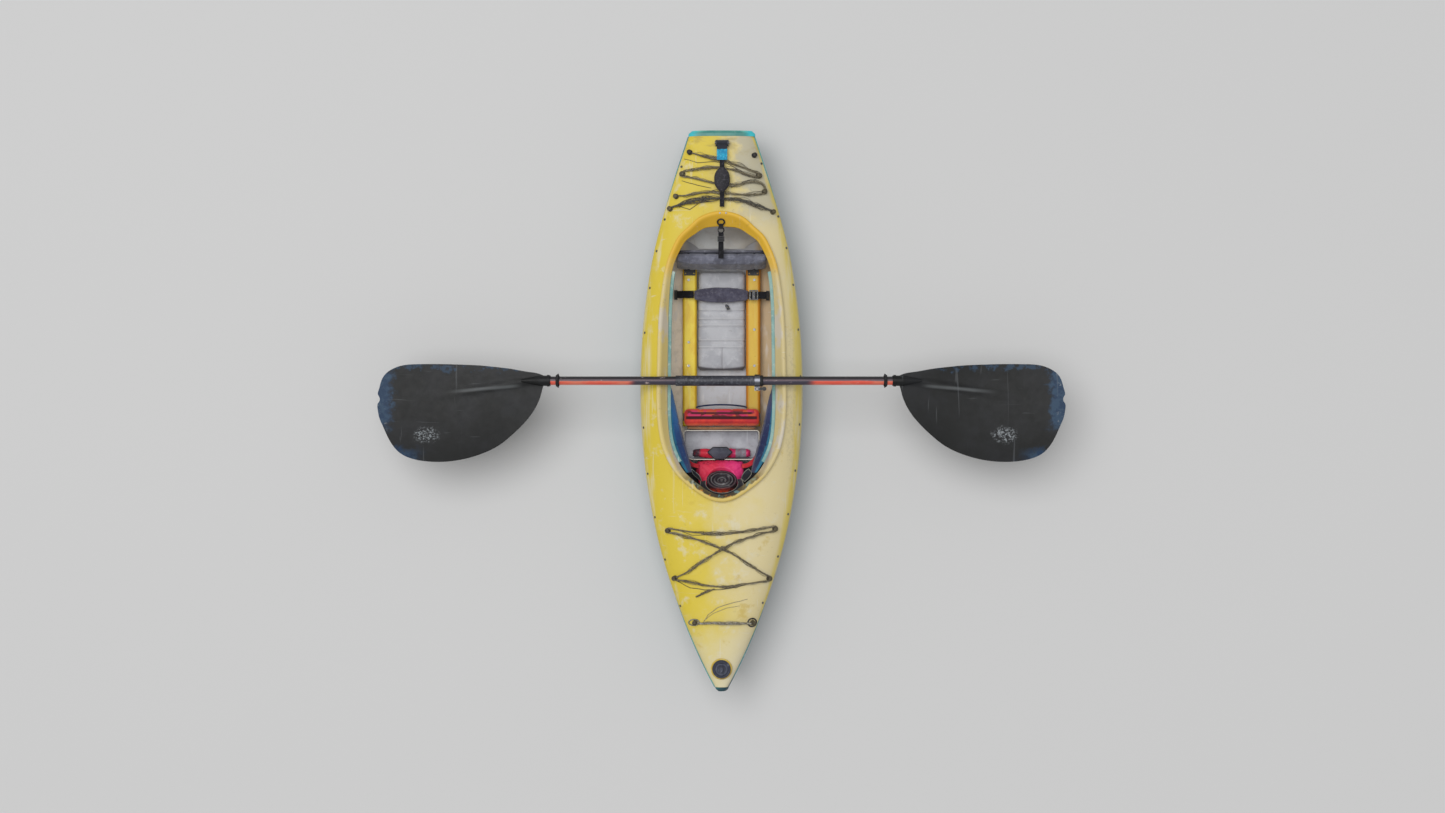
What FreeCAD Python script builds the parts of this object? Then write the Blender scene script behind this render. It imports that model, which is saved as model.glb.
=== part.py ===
import FreeCAD, Part
from FreeCAD import Vector as V, Placement, Rotation
import Sketcher
import math, os

# A compact sit-in touring kayak with its double-bladed paddle laid across the cockpit.
# Frame: X across the boat (paddle axis), Y along the hull (bow -Y, stern +Y), Z up, origin on the
# ground under the middle of the whole object. Millimetres.

os.makedirs("parts", exist_ok=True)
doc = FreeCAD.newDocument("kayak")

# ------------------------------------------------------------------ driving dimensions
sheet = doc.addObject("Spreadsheet::Sheet", "dims")
DIMS = [
    ("hull_wall", 5.0), ("deck_wall", 5.0), ("beam_scale", 1.0), ("stern_y", 1040.0), ("bow_y", -1046.0),
    ("sheer_mid", 190.0), ("sheer_stern_rise", 15.0), ("sheer_bow_rise", 42.0), ("keel_gap", 5.0),
    ("rocker_stern", 55.0), ("rocker_bow", 140.0), ("seam_gap", 0.4), ("coaming_height", 276.3),
    ("coaming_slope", 0.0309), ("deck_drop", 14.0), ("paddle_y", 112.0), ("shaft_radius", 16.0),
    ("shaft_bore", 14.0), ("tube_outer", 19.5), ("tube_inner", 17.6), ("tube_left", -172.0), ("tube_right", 146.0),
    ("shaft_end", 664.0), ("blade_tip", 1290.0), ("blade_thick", 5.0), ("rail_width", 56.0), ("rail_height", 32.6),
    ("rail_base", 32.4), ("rail_centre", 123.0), ("rail_front", -62.0), ("rail_back", 545.0), ("rail_fillet", 11.0),
    ("screw_head", 5.0), ("screw_shank", 2.4), ("screw_bore", 2.8), ("hatch_y", -975.0), 
    ("hatch_bore", 31.0), ("hatch_flange", 40.0), ("hatch_cap_radius", 34.0), ("strip_width", 18.0),
    ("bungee", 5.6), ("heavy_bungee", 7.6), ("rope", 7.0), ("eye_puck", 10.0), ("tray_half", 146.0),
    ("tray_front", -190.0), ("tray_back", -76.0), ("tray_floor", 34.0), ("tray_depth", 62.0), ("tray_wall", 3.0),
    ("brace_half", 149.0), ("back_hinge_y", 556.0), ("back_hinge_z", 84.0), ("back_lean", 17.0),
    ("back_height", 118.0), ("back_half", 176.0), ("valve_radius", 58.0), ("valve_tilt", 54.0),
    ("webbing", 25.0), ("web_thick", 2.2), ("handle_y", 1012.0), ("transom_thick", 21.7),
]
for i, (name, value) in enumerate(DIMS):
    sheet.set("A%d" % (i + 1), name)
    sheet.set("B%d" % (i + 1), str(value))
    sheet.setAlias("B%d" % (i + 1), name)
doc.recompute()


def D(name):
    return float(getattr(sheet, name))


PARTS = []


def keep(obj, label):
    obj.Label = label
    PARTS.append(obj)
    return obj


def feat(label, shape):
    o = doc.addObject("Part::Feature", label)
    o.Shape = shape
    return keep(o, label)


def solid(sh):
    s = sh if sh.ShapeType == "Solid" else (sh.Solids[0] if len(sh.Solids) == 1 else sh)
    if s.Volume < 0:
        s.reverse()
    return s


# ------------------------------------------------------------------ curves used by the shells
def cubic(tab):
    xs = [float(p[0]) for p in tab]
    ys = [float(p[1]) for p in tab]
    n = len(xs)
    h = [xs[i + 1] - xs[i] for i in range(n - 1)]
    al = [0.0] * n
    for i in range(1, n - 1):
        al[i] = 3 * (ys[i + 1] - ys[i]) / h[i] - 3 * (ys[i] - ys[i - 1]) / h[i - 1]
    l = [1.0] * n
    mu = [0.0] * n
    z = [0.0] * n
    for i in range(1, n - 1):
        l[i] = 2 * (xs[i + 1] - xs[i - 1]) - h[i - 1] * mu[i - 1]
        mu[i] = h[i] / l[i]
        z[i] = (al[i] - h[i - 1] * z[i - 1]) / l[i]
    c = [0.0] * n
    b = [0.0] * n
    d = [0.0] * n
    for j in range(n - 2, -1, -1):
        c[j] = z[j] - mu[j] * c[j + 1]
        b[j] = (ys[j + 1] - ys[j]) / h[j] - h[j] * (c[j + 1] + 2 * c[j]) / 3
        d[j] = (c[j + 1] - c[j]) / (3 * h[j])

    def f(x):
        j = 0
        while j < n - 2 and x > xs[j + 1]:
            j += 1
        t = x - xs[j]
        return ys[j] + t * (b[j] + t * (c[j] + t * d[j]))

    return f


def linear(tab):
    def f(x):
        if x <= tab[0][0]:
            return tab[0][1]
        for (a, fa), (b, fb) in zip(tab, tab[1:]):
            if x <= b:
                return fa + (fb - fa) * (x - a) / (b - a)
        return tab[-1][1]
    return f


def smooth(t):
    t = max(0.0, min(1.0, t))
    return t * t * (3 - 2 * t)


BEAM = cubic([(-1052, 24.5), (-1030, 36.6), (-1000, 52.5), (-960, 72.6), (-900, 100.5), (-830, 130.2), (-750, 160.6),
              (-660, 190.8), (-560, 220.1), (-450, 247.2), (-330, 270.8), (-200, 289.3), (-60, 301.2), (80, 305.2),
              (220, 301.8), (360, 291.0), (500, 272.6), (630, 248.0), (750, 218.5), (860, 186.5), (950, 157.7),
              (1010, 137.9), (1040, 127.9)])


def beam(y):
    return BEAM(y) * D("beam_scale")


def sheer(y):
    return (D("sheer_mid") + D("sheer_stern_rise") * (max(0.0, y) / 1040.0) ** 2
            + D("sheer_bow_rise") * (max(0.0, -y) / 1046.0) ** 2)


def keel(y):
    return (D("keel_gap") + D("rocker_stern") * (max(0.0, y - 450.0) / 590.0) ** 2.2
            + D("rocker_bow") * (max(0.0, -y - 350.0) / 696.0) ** 2.2)


def coaming_z(y):
    return D("coaming_height") - D("coaming_slope") * y


MID = [(1, 0), (.992, .12), (.975, .28), (.95, .45), (.90, .65), (.80, .82), (.62, .925), (.40, .972), (.2, .992), (0, 1)]
END = [(1, 0), (.93, .13), (.84, .28), (.73, .43), (.60, .58), (.46, .72), (.32, .84), (.2, .92), (.1, .975), (0, 1)]


def hull_dense(y, t):
    """Half section from the sheer down to the keel, moved inward by t."""
    w = smooth((-y - 120) / 930.0) + 0.5 * smooth((y - 300) / 740.0)
    pts = [((1 - w) * a[0] + w * b[0], (1 - w) * a[1] + w * b[1]) for a, b in zip(MID, END)]
    full = pts + [(-p[0], p[1]) for p in reversed(pts[:-1])]
    s = [0.0]
    for p, q in zip(full, full[1:]):
        s.append(s[-1] + math.hypot(q[0] - p[0], q[1] - p[1]))
    fu = cubic([(a, p[0]) for a, p in zip(s, full)])
    fv = cubic([(a, p[1]) for a, p in zip(s, full)])
    half = s[len(pts) - 1]
    B = beam(y) - t
    zs = sheer(y)
    zk = keel(y) + t
    out = []
    for i in range(161):
        a = half * i / 160.0
        out.append((B * fu(a), zs - (zs - zk) * fv(a)))
    out[-1] = (0.0, out[-1][1])
    return out


def resample(pts, n):
    s = [0.0]
    for p, q in zip(pts, pts[1:]):
        s.append(s[-1] + math.hypot(q[0] - p[0], q[1] - p[1]))
    out = []
    j = 0
    for i in range(n):
        a = s[-1] * i / (n - 1.0)
        while j < len(s) - 2 and s[j + 1] < a:
            j += 1
        k = (a - s[j]) / max(1e-9, s[j + 1] - s[j])
        out.append((pts[j][0] + k * (pts[j + 1][0] - pts[j][0]), pts[j][1] + k * (pts[j + 1][1] - pts[j][1])))
    return out


def hull_row(y, t, n=13, ztop=None):
    d = hull_dense(y, t)
    if ztop is not None:
        c = [p for p in d if p[1] <= ztop]
        k = len(d) - len(c)
        if k > 0:
            a, b = d[k - 1], d[k]
            f = (a[1] - ztop) / max(1e-9, a[1] - b[1])
            c = [(a[0] + f * (b[0] - a[0]), ztop)] + c
        d = c
    r = resample(d, n)
    return [V(p[0], y, p[1]) for p in r] + [V(-p[0], y, p[1]) for p in reversed(r[:-1])]


def hull_half(y, z, t):
    """Half width of the hull section moved in by t, at height z."""
    d = hull_dense(y, t)
    for p, q in zip(d, d[1:]):
        if q[1] <= z <= p[1]:
            k = (p[1] - z) / max(1e-9, p[1] - q[1])
            return p[0] + k * (q[0] - p[0])
    return d[0][0] if z > d[0][1] else 0.0


def hull_under(x, y, t=0.0):
    """Height of the hull skin below the point (x, y)."""
    d = hull_dense(y, t)
    x = abs(x)
    for p, q in zip(reversed(d), list(reversed(d))[1:]):
        if p[0] <= x <= q[0]:
            return p[1] + (q[1] - p[1]) * (x - p[0]) / max(1e-9, q[0] - p[0])
    return d[0][1]


# cockpit outline: half widths of the coaming's outer line and of its inner edge
OUTER = [(754, 0), (746.7, 45.6), (725.4, 91.2), (697.3, 121.6), (670.7, 152), (617.5, 184.3), (564.3, 205.2),
         (465.5, 224.2), (389.5, 233.7), (241.3, 241.3), (120, 244), (39.9, 245.1), (-36.1, 241.3), (-112.1, 229.9),
         (-146.3, 220.4), (-200, 195.5), (-245.1, 165.3), (-302.1, 98.8), (-328.7, 58), (-343.9, 0)]
INNER = [(693.5, 0), (690, 62), (682, 92.8), (651.7, 123.6), (628.9, 142.4), (598.5, 161.4), (564.3, 177), (514.9, 189),
         (457.9, 195.7), (365, 199.5), (267.9, 201.4), (150, 203), (39.9, 203.3), (-40, 201.5), (-112.1, 193.6),
         (-188.1, 165), (-252.7, 119.4), (-292, 70), (-312, 36), (-319, 0)]
CY = 173.0


def closed_outline(half, n=720):
    ring = [V(x, y, 0) for y, x in half] + [V(-x, y, 0) for y, x in reversed(half[1:-1])]
    c = Part.BSplineCurve()
    c.interpolate(ring, PeriodicFlag=True)
    return c.discretize(n)[:-1]


OUT_PTS = closed_outline(OUTER)
IN_PTS = closed_outline(INNER)


def polar_hit(pts, cx, cy, ang):
    dx, dy = math.cos(ang), math.sin(ang)
    n = len(pts)
    best = None
    for i in range(n):
        a, b = pts[i], pts[(i + 1) % n]
        x1, y1, x2, y2 = a.x - cx, a.y - cy, b.x - cx, b.y - cy
        c1 = dx * y1 - dy * x1
        c2 = dx * y2 - dy * x2
        if c1 * c2 <= 0 and abs(c1 - c2) > 1e-12:
            k = c1 / (c1 - c2)
            r = (x1 + k * (x2 - x1)) * dx + (y1 + k * (y2 - y1)) * dy
            if r > 0:
                best = r
    return best


def ring_stations(n=56):
    """Points round the coaming: outer point, inward direction, band width and band fall."""
    s = [0.0]
    P = OUT_PTS
    for i in range(len(P)):
        s.append(s[-1] + (P[(i + 1) % len(P)] - P[i]).Length)
    total = s[-1]
    out = []
    for k in range(n):
        a = total * k / n
        i = 0
        while s[i + 1] < a:
            i += 1
        p = P[i] + (P[(i + 1) % len(P)] - P[i]) * ((a - s[i]) / (s[i + 1] - s[i]))
        q = P[(i + 6) % len(P)] - P[(i - 6) % len(P)]
        nrm = V(-q.y, q.x, 0)
        nrm.normalize()
        if nrm.dot(V(0, CY, 0) - p) < 0:
            nrm = nrm * -1
        # distance to the inner edge along the normal
        best = 60.0
        for j in range(len(IN_PTS)):
            a1, b1 = IN_PTS[j] - p, IN_PTS[(j + 1) % len(IN_PTS)] - p
            c1 = nrm.x * a1.y - nrm.y * a1.x
            c2 = nrm.x * b1.y - nrm.y * b1.x
            if c1 * c2 <= 0 and abs(c1 - c2) > 1e-12:
                t = c1 / (c1 - c2)
                r = (a1 + (b1 - a1) * t).dot(nrm)
                if 0 < r < best:
                    best = r
        w = max(27.0, min(62.0, best))
        out.append([p, nrm, w])
    # even the widths a little round the ring
    for _ in range(2):
        ws = [o[2] for o in out]
        for i in range(n):
            out[i][2] = (ws[i - 1] + 2 * ws[i] + ws[(i + 1) % n]) / 4.0
    return [(o[0], o[1], o[2]) for o in out]


STN = ring_stations()


def fall(w):
    """How far the band drops from the rim to its inner edge, for a band of width w."""
    return linear([(27, 9), (40, 25), (61, 35)])(w)


def periodic(pts):
    b = Part.BSplineCurve()
    b.interpolate(pts, PeriodicFlag=True)
    return b.toShape()


def open_curve(pts):
    b = Part.BSplineCurve()
    b.interpolate(pts)
    return b.toShape()


def ring_solid(profile):
    """profile(station) gives (inward, height) pairs; the corner lines go all the way round."""
    rows = []
    for p, nrm, w in STN:
        zc = coaming_z(p.y)
        rows.append([V(p.x + nrm.x * r, p.y + nrm.y * r, zc + dz - D("coaming_slope") * 0) for r, dz in profile(w)])
    m = len(rows[0])
    cur = [periodic([row[k] for row in rows]) for k in range(m)]
    faces = [Part.makeRuledSurface(cur[k], cur[(k + 1) % m]) for k in range(m)]
    sh = Part.Shell(faces)
    sh.sewShape()
    s = Part.Solid(sh)
    if s.Volume < 0:
        s.reverse()
    return s


def skin_solid(outer, inner):
    """Closed solid between two skins given as grids of points."""
    so = Part.BSplineSurface()
    so.interpolate(outer)
    si = Part.BSplineSurface()
    si.interpolate(inner)
    fo, fi = so.toShape(), si.toShape()
    faces = [fo, fi]
    for a in fo.Edges:
        mid = a.valueAt((a.FirstParameter + a.LastParameter) / 2)
        best = min(fi.Edges, key=lambda b: (b.valueAt((b.FirstParameter + b.LastParameter) / 2) - mid).Length)
        faces.append(Part.makeRuledSurface(a, best))
    sh = Part.Shell(faces)
    sh.sewShape()
    s = Part.Solid(sh)
    if s.Volume < 0:
        s.reverse()
    return s


def bar_solid(rows):
    """Solid swept along rows of equal corner counts: ruled sides and two flat ends."""
    m = len(rows[0])
    cur = [open_curve([r[k] for r in rows]) for k in range(m)]
    faces = [Part.makeRuledSurface(cur[k], cur[(k + 1) % m]) for k in range(m)]
    for r in (rows[0], rows[-1]):
        faces.append(Part.Face(Part.makePolygon(list(r) + [r[0]])))
    sh = Part.Shell(faces)
    sh.sewShape()
    s = Part.Solid(sh)
    if s.Volume < 0:
        s.reverse()
    return s


# ------------------------------------------------------------------ deck crown
def deck_n(y):
    return 3.0 + 1.0 * math.exp(-((y - 60) / 480.0) ** 2)


def deck_m(y):
    return 0.62 + 0.08 * math.exp(-((y - 60) / 480.0) ** 2)


def overhang(y):
    return -4.0 + 7.5 * smooth((y + 950) / 500.0) * smooth((980 - y) / 450.0)


def deck_half(y):
    return beam(y) + overhang(y)


def coaming_half(y):
    best = 0.0
    for i in range(len(OUT_PTS)):
        a, b = OUT_PTS[i], OUT_PTS[(i + 1) % len(OUT_PTS)]
        if (a.y - y) * (b.y - y) <= 0 and abs(a.y - b.y) > 1e-12:
            k = (y - a.y) / (b.y - a.y)
            best = max(best, abs(a.x + k * (b.x - a.x)))
    return best


def crown_need(y):
    u = coaming_half(y) / deck_half(y)
    return (coaming_z(y) - D("deck_drop") - sheer(y)) / (1 - u ** deck_n(y)) ** deck_m(y)


CROWN = cubic([(y, z - sheer(y)) for y, z in
               [(-1046, 246.5), (-975, 254.0), (-850, 262.0), (-700, 268.0), (-560, 271.5), (-440, 273.0)]]
              + [(y, crown_need(y)) for y in (-270, -150, 0, 150, 300, 450, 580, 670)]
              + [(y, z - sheer(y)) for y, z in [(770, 239.0), (900, 235.5), (1040, 228.0)]])


def deck_z(x, y, lift=0.0):
    u = min(0.999, abs(x) / deck_half(y))
    return sheer(y) + D("seam_gap") + CROWN(y) * (1 - u ** deck_n(y)) ** deck_m(y) + lift


def deck_row(y, t, n=15):
    B = deck_half(y) - t
    H = CROWN(y) - t
    z0 = sheer(y) + D("seam_gap")
    d = []
    for i in range(241):
        u = math.sin(math.pi / 2 * (1 - i / 240.0))
        d.append((B * u, z0 + H * (max(0.0, 1 - u ** deck_n(y))) ** deck_m(y)))
    d[0] = (B, z0)
    d[-1] = (0.0, z0 + H)
    r = resample(d, n)
    return [V(p[0], y, p[1]) for p in r] + [V(-p[0], y, p[1]) for p in reversed(r[:-1])]


def deck_normal(x, y):
    e = 2.0
    return V(-(deck_z(x + e, y) - deck_z(x - e, y)) / (2 * e), -(deck_z(x, y + e) - deck_z(x, y - e)) / (2 * e), 1).normalize()


STATIONS = [-1046, -1020, -985, -940, -880, -810, -730, -640, -550, -460, -370, -280, -190, -100, 0, 100, 200, 300,
            400, 490, 580, 660, 730, 800, 870, 940, 995, 1040]

hull = feat("hull_shell", skin_solid([hull_row(y, 0) for y in STATIONS], [hull_row(y, D("hull_wall")) for y in STATIONS]))

deck = skin_solid([deck_row(y, 0) for y in STATIONS], [deck_row(y, D("deck_wall")) for y in STATIONS])
hole = Part.Face(Part.Wire([periodic([p + nrm * 9.0 for p, nrm, w in STN])])).extrude(V(0, 0, 400))
deck = deck.cut(hole)
hatch_hole = Part.makeCylinder(D("hatch_bore") + 1.8, 200, V(0, D("hatch_y"), 150))
deck = deck.cut(hatch_hole)
feat("deck_shell", solid(deck))

# ------------------------------------------------------------------ end caps
def end_outline(y, shrink, drop=0.0):
    h = hull_row(y, 0)
    d = deck_row(y, 0)
    pts = h[:-1] + list(reversed(d))[:-1]
    pts = [p for i, p in enumerate(pts) if i % 2 == 0]
    cz = sum(p.z for p in pts) / len(pts)
    m = max(abs(p.x) for p in pts)
    k = 1 - shrink / m
    mz = max(abs(p.z - cz) for p in pts)
    kz = 1 - shrink / mz
    return [V(p.x * k, y, cz + (p.z - cz) * kz - drop) for p in pts]


def cap_solid(y, steps):
    wires = []
    for yy, shrink, drop in steps:
        pts = [V(p.x, yy, p.z) for p in end_outline(y, shrink, drop)]
        wires.append(Part.Wire([periodic(pts)]))
    s = Part.makeLoft(wires, True, True, False)
    return solid(s)


T = D("stern_y")
feat("transom_plate", cap_solid(T, [(T + 0.3, 0.0, 0), (T + 11, 0.6, 0), (T + D("transom_thick"), 13.0, 0)]))
B0 = D("bow_y")
feat("bow_cap", cap_solid(B0, [(B0 - 0.3, 0.0, 0), (B0 - 9, 3.5, 0), (B0 - 15.7, 12.0, 0)]))

# keel wear strips with flat undersides
def strip(xc, y0, y1):
    w = D("strip_width") / 2
    rows = []
    n = 14
    for i in range(n + 1):
        y = y0 + (y1 - y0) * i / n
        za = hull_under(xc - w, y) - 0.4
        zb = hull_under(xc + w, y) - 0.4
        zc = hull_under(xc, y) - 0.4
        za, zb = min(za, zc + 99), min(zb, zc + 99)
        lo = min(za, zb, zc)
        if abs(xc) < 1:
            za = zb = zc
        rows.append([V(xc - w + 2, y, -1.5), V(xc + w - 2, y, -1.5), V(xc + w, y, 2), V(xc + w, y, zb), V(xc - w, y, za), V(xc - w, y, 2)])
    return solid(bar_solid(rows).cut(Part.makeBox(500, 1600, 5, V(-250, -800, -5))))


feat("keel_strips", Part.makeCompound([strip(0, -400, 500), strip(130, -330, 430), strip(-130, -330, 430)]))

# joining flange behind the seam, one length each side
def flange(sign):
    rows = []
    for i in range(25):
        y = -760 + 1660 * i / 24.0
        zs = sheer(y)
        xs = []
        for dz in (-7, -3.5, 0):
            xs.append(hull_half(y, zs + dz, D("hull_wall")))
        B, H = deck_half(y) - D("deck_wall"), CROWN(y) - D("deck_wall")
        for dz in (2, 5, 7):
            f = max(0.0, 1 - (dz / H) ** (1 / deck_m(y))) ** (1 / deck_n(y))
            xs.append(B * f)
        x = min(xs) - 0.7
        rows.append([V(sign * x, y, zs - 7), V(sign * x, y, zs + 7), V(sign * (x - 3), y, zs + 7), V(sign * (x - 3), y, zs - 7)])
    return bar_solid(rows)


feat("seam_flange", Part.makeCompound([flange(1), flange(-1)]))

# ------------------------------------------------------------------ cockpit coaming and trims
def coaming_profile(w):
    d = fall(w)
    return [(10, -34), (10, -6), (3, -6), (0.7, -4.2), (0, -1.6), (1.8, 0.9), (5, 2.2), (8, 2.5), (12, 1.6), (16.5, -1.2),
            (w - 5, -d + 3.4), (w - 1.4, -d + 0.2), (w, -d - 2.4), (w - 1.6, -d - 4.4), (17, -8.5), (14.2, -11.5), (14.2, -34)]


feat("cockpit_coaming", ring_solid(coaming_profile))


def side_trim(sign):
    rows = []
    seq = [(p, nrm, w) for p, nrm, w in STN if p.x * sign > 40 and -236 < p.y < 560]
    seq.sort(key=lambda s: s[0].y)
    for p, nrm, w in seq:
        d = fall(w)
        z = coaming_z(p.y)
        rows.append([V(p.x + nrm.x * r, p.y + nrm.y * r, z + dz) for r, dz in
                     [(w - 13, -d - 6.2), (w + 3, -d - 6.4), (w + 11.5, -d - 8.6), (w + 12.5, -d - 11), (w + 9, -d - 12), (w - 13, -d - 10.4)]])
    return bar_solid(rows)


feat("side_trims", Part.makeCompound([side_trim(-1), side_trim(1)]))

# ------------------------------------------------------------------ cockpit liner and bulkheads
LY = [-352, -300, -230, -150, -60, 40, 140, 240, 340, 430, 520, 600, 670, 735]
feat("cockpit_liner", skin_solid([hull_row(y, 6.4, 13, sheer(y) - 13) for y in LY], [hull_row(y, 10.4, 13, sheer(y) - 13) for y in LY]))


def ramp(ys, zf, t, rib=0.0, cols=13):
    up, dn = [], []
    for y in ys:
        z = zf(y)
        w = hull_half(y, z - t, 10.4) - 3.0
        ru, rd = [], []
        for j in range(cols):
            f = -1 + 2.0 * j / (cols - 1)
            k = rib * (1 - abs(f)) * math.cos(f * 6) * (1 if 0.05 < (y - ys[0]) / (ys[-1] - ys[0]) < 0.95 else 0)
            ru.append(V(w * f, y, z + k))
            rd.append(V(w * f, y, z - t + k))
        up.append(ru)
        dn.append(rd)
    return skin_solid(up, dn)


RZ = cubic([(628, 34), (650, 42), (680, 74), (705, 116), (725, 160), (738, 186)])
feat("stern_bulkhead", ramp([628, 642, 656, 670, 684, 698, 712, 725, 738], RZ, 7.0, 3.0))

# foam pillars that hold up the decks, hidden inside
def pd_body(label):
    b = doc.addObject("PartDesign::Body", label)
    return keep(b, label)


def plane(body, role):
    return next(o for o in body.Origin.OriginFeatures if o.Role == role)


def sketch(body, role, name):
    sk = body.newObject("Sketcher::SketchObject", name)
    sk.AttachmentSupport = (plane(body, role), [""])
    sk.MapMode = "FlatFace"
    return sk


def poly(sk, pts, closed=True):
    n = len(pts)
    first = sk.GeometryCount
    for i in range(n):
        a, b = pts[i], pts[(i + 1) % n]
        sk.addGeometry(Part.LineSegment(V(a[0], a[1], 0), V(b[0], b[1], 0)), False)
    for i in range(n):
        sk.addConstraint(Sketcher.Constraint("Coincident", first + i, 2, first + (i + 1) % n, 1))


def rect(sk, cx, cy, w, h, wexpr=None, hexpr=None):
    """Rectangle centred on (cx, cy); its width and height can be bound to sheet cells."""
    x0, x1, y0, y1 = cx - w / 2.0, cx + w / 2.0, cy - h / 2.0, cy + h / 2.0
    f = sk.GeometryCount
    P = [(x0, y0), (x1, y0), (x1, y1), (x0, y1)]
    for i in range(4):
        a, b = P[i], P[(i + 1) % 4]
        sk.addGeometry(Part.LineSegment(V(a[0], a[1], 0), V(b[0], b[1], 0)), False)
    for i in range(4):
        sk.addConstraint(Sketcher.Constraint("Coincident", f + i, 2, f + (i + 1) % 4, 1))
    sk.addConstraint(Sketcher.Constraint("Horizontal", f))
    sk.addConstraint(Sketcher.Constraint("Horizontal", f + 2))
    sk.addConstraint(Sketcher.Constraint("Vertical", f + 1))
    sk.addConstraint(Sketcher.Constraint("Vertical", f + 3))
    sk.addConstraint(Sketcher.Constraint("DistanceX", -1, 1, f, 1, x0))
    cx_i = sk.ConstraintCount - 1
    sk.addConstraint(Sketcher.Constraint("DistanceY", -1, 1, f, 1, y0))
    cy_i = sk.ConstraintCount - 1
    sk.addConstraint(Sketcher.Constraint("DistanceX", f, 1, f, 2, w))
    wi = sk.ConstraintCount - 1
    sk.addConstraint(Sketcher.Constraint("DistanceY", f + 1, 1, f + 1, 2, h))
    hi = sk.ConstraintCount - 1
    if wexpr:
        sk.setExpression("Constraints[%d]" % wi, wexpr)
        if abs(cx) < 1e-9:
            sk.setExpression("Constraints[%d]" % cx_i, "-(%s) / 2" % wexpr)
    if hexpr:
        sk.setExpression("Constraints[%d]" % hi, hexpr)
        if abs(cy) < 1e-9:
            sk.setExpression("Constraints[%d]" % cy_i, "-(%s) / 2" % hexpr)


def circle(sk, cx, cy, r, rexpr=None):
    f = sk.addGeometry(Part.Circle(V(cx, cy, 0), V(0, 0, 1), r), False)
    sk.addConstraint(Sketcher.Constraint("Radius", f, r))
    i = sk.ConstraintCount - 1
    if rexpr:
        sk.setExpression("Constraints[%d]" % i, rexpr)
    if cx == 0 and cy == 0:
        sk.addConstraint(Sketcher.Constraint("Coincident", f, 3, -1, 1))
    else:
        sk.addConstraint(Sketcher.Constraint("DistanceX", -1, 1, f, 3, cx))
        sk.addConstraint(Sketcher.Constraint("DistanceY", -1, 1, f, 3, cy))


def pad(body, sk, length, lexpr=None, sym=False, rev=False):
    p = body.newObject("PartDesign::Pad", "Pad")
    p.Profile = sk
    p.Length = length
    if lexpr:
        p.setExpression("Length", lexpr)
    if sym:
        p.SideType = "Symmetric" if hasattr(p, "SideType") else p.SideType
    p.Reversed = rev
    return p


def pocket(body, sk, length, rev=False, through=False):
    p = body.newObject("PartDesign::Pocket", "Pocket")
    p.Profile = sk
    if through:
        p.Type = "ThroughAll"
    else:
        p.Length = length
    p.Reversed = rev
    return p


def fillet(body, base, edges, r, rexpr=None):
    f = body.newObject("PartDesign::Fillet", "Fillet")
    f.Base = (base, edges)
    f.Radius = r
    if rexpr:
        f.setExpression("Radius", rexpr)
    return f


def edges_where(feature, test):
    doc.recompute()
    return ["Edge%d" % (i + 1) for i, e in enumerate(feature.Shape.Edges) if test(e)]


def mid(e):
    return e.valueAt((e.FirstParameter + e.LastParameter) / 2)


def pillar(label, y0, y1, n=9):
    lo = [(y, hull_under(27, y, D("hull_wall")) + 3.0) for y in [y0 + (y1 - y0) * i / n for i in range(n + 1)]]
    hi = [(y, deck_z(27, y) - D("deck_wall") - 3.0) for y in [y1 + (y0 - y1) * i / n for i in range(n + 1)]]
    b = doc.addObject("PartDesign::Body", label)
    sk = sketch(b, "YZ_Plane", label + "_side")
    poly(sk, lo + hi)
    p = pad(b, sk, 46)
    p.Midplane = True
    return b


pl = doc.addObject("Part::Compound", "foam_pillars")
pl.Links = [pillar("stern_foam", 770, 985), pillar("bow_foam", -905, -380)]
keep(pl, "foam_pillars")

# ------------------------------------------------------------------ floor rails, seat, tray
SCREWS = {-1: [(264, 0), (173, 0), (505, 0), (-20, 0)], 1: [(313, 0), (173, 0), (505, 0), (-20, 0)]}


def rail(label, sign):
    b = pd_body(label)
    L = D("rail_back") - D("rail_front")
    sk = sketch(b, "XY_Plane", label + "_plan")
    rect(sk, 0, 0, D("rail_width"), L, "dims.rail_width", "dims.rail_back - dims.rail_front")
    p = pad(b, sk, D("rail_height"), "dims.rail_height")
    doc.recompute()
    top = edges_where(p, lambda e: abs(mid(e).z - D("rail_height")) < 0.1)
    f = fillet(b, p, top, D("rail_fillet"), "dims.rail_fillet")
    doc.recompute()
    s2 = sketch(b, "XY_Plane", label + "_bores")
    yc = (D("rail_back") + D("rail_front")) / 2
    for y, dx in SCREWS[sign]:
        circle(s2, sign * 4.0 + 0.001, y - yc, D("screw_bore"), "dims.screw_bore")
    pk = pocket(b, s2, 80, rev=True)
    doc.recompute()
    b.Placement = Placement(V(sign * D("rail_centre"), yc, D("rail_base")), Rotation())
    return b


rail("rail_left", -1)
rail("rail_right", 1)


def screw(pos, axis=V(0, 0, 1), head=None, shank=None, length=10.0, hh=2.6):
    head = head or D("screw_head")
    shank = shank or D("screw_shank")
    c = Part.makeCylinder(head, hh, pos, axis)
    c = c.fuse(Part.makeCylinder(shank, length, pos, axis * -1))
    top = Part.makeBox(head * 1.3, 1.2, 1.2, V(-head * 0.65, -0.6, 0))
    rot = Rotation(V(0, 0, 1), axis)
    top.Placement = Placement(pos + axis * (hh - 0.9), rot)
    return solid(c.cut(top))


ztop = D("rail_base") + D("rail_height")
sc = []
for sign in (-1, 1):
    for y, dx in SCREWS[sign]:
        sc.append(screw(V(sign * (D("rail_centre") + 4.0), y, ztop + 0.05), length=22))
feat("rail_screws", Part.makeCompound(sc))

FZ = hull_under(97, 150, 10.4)   # liner floor beside the seat


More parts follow.
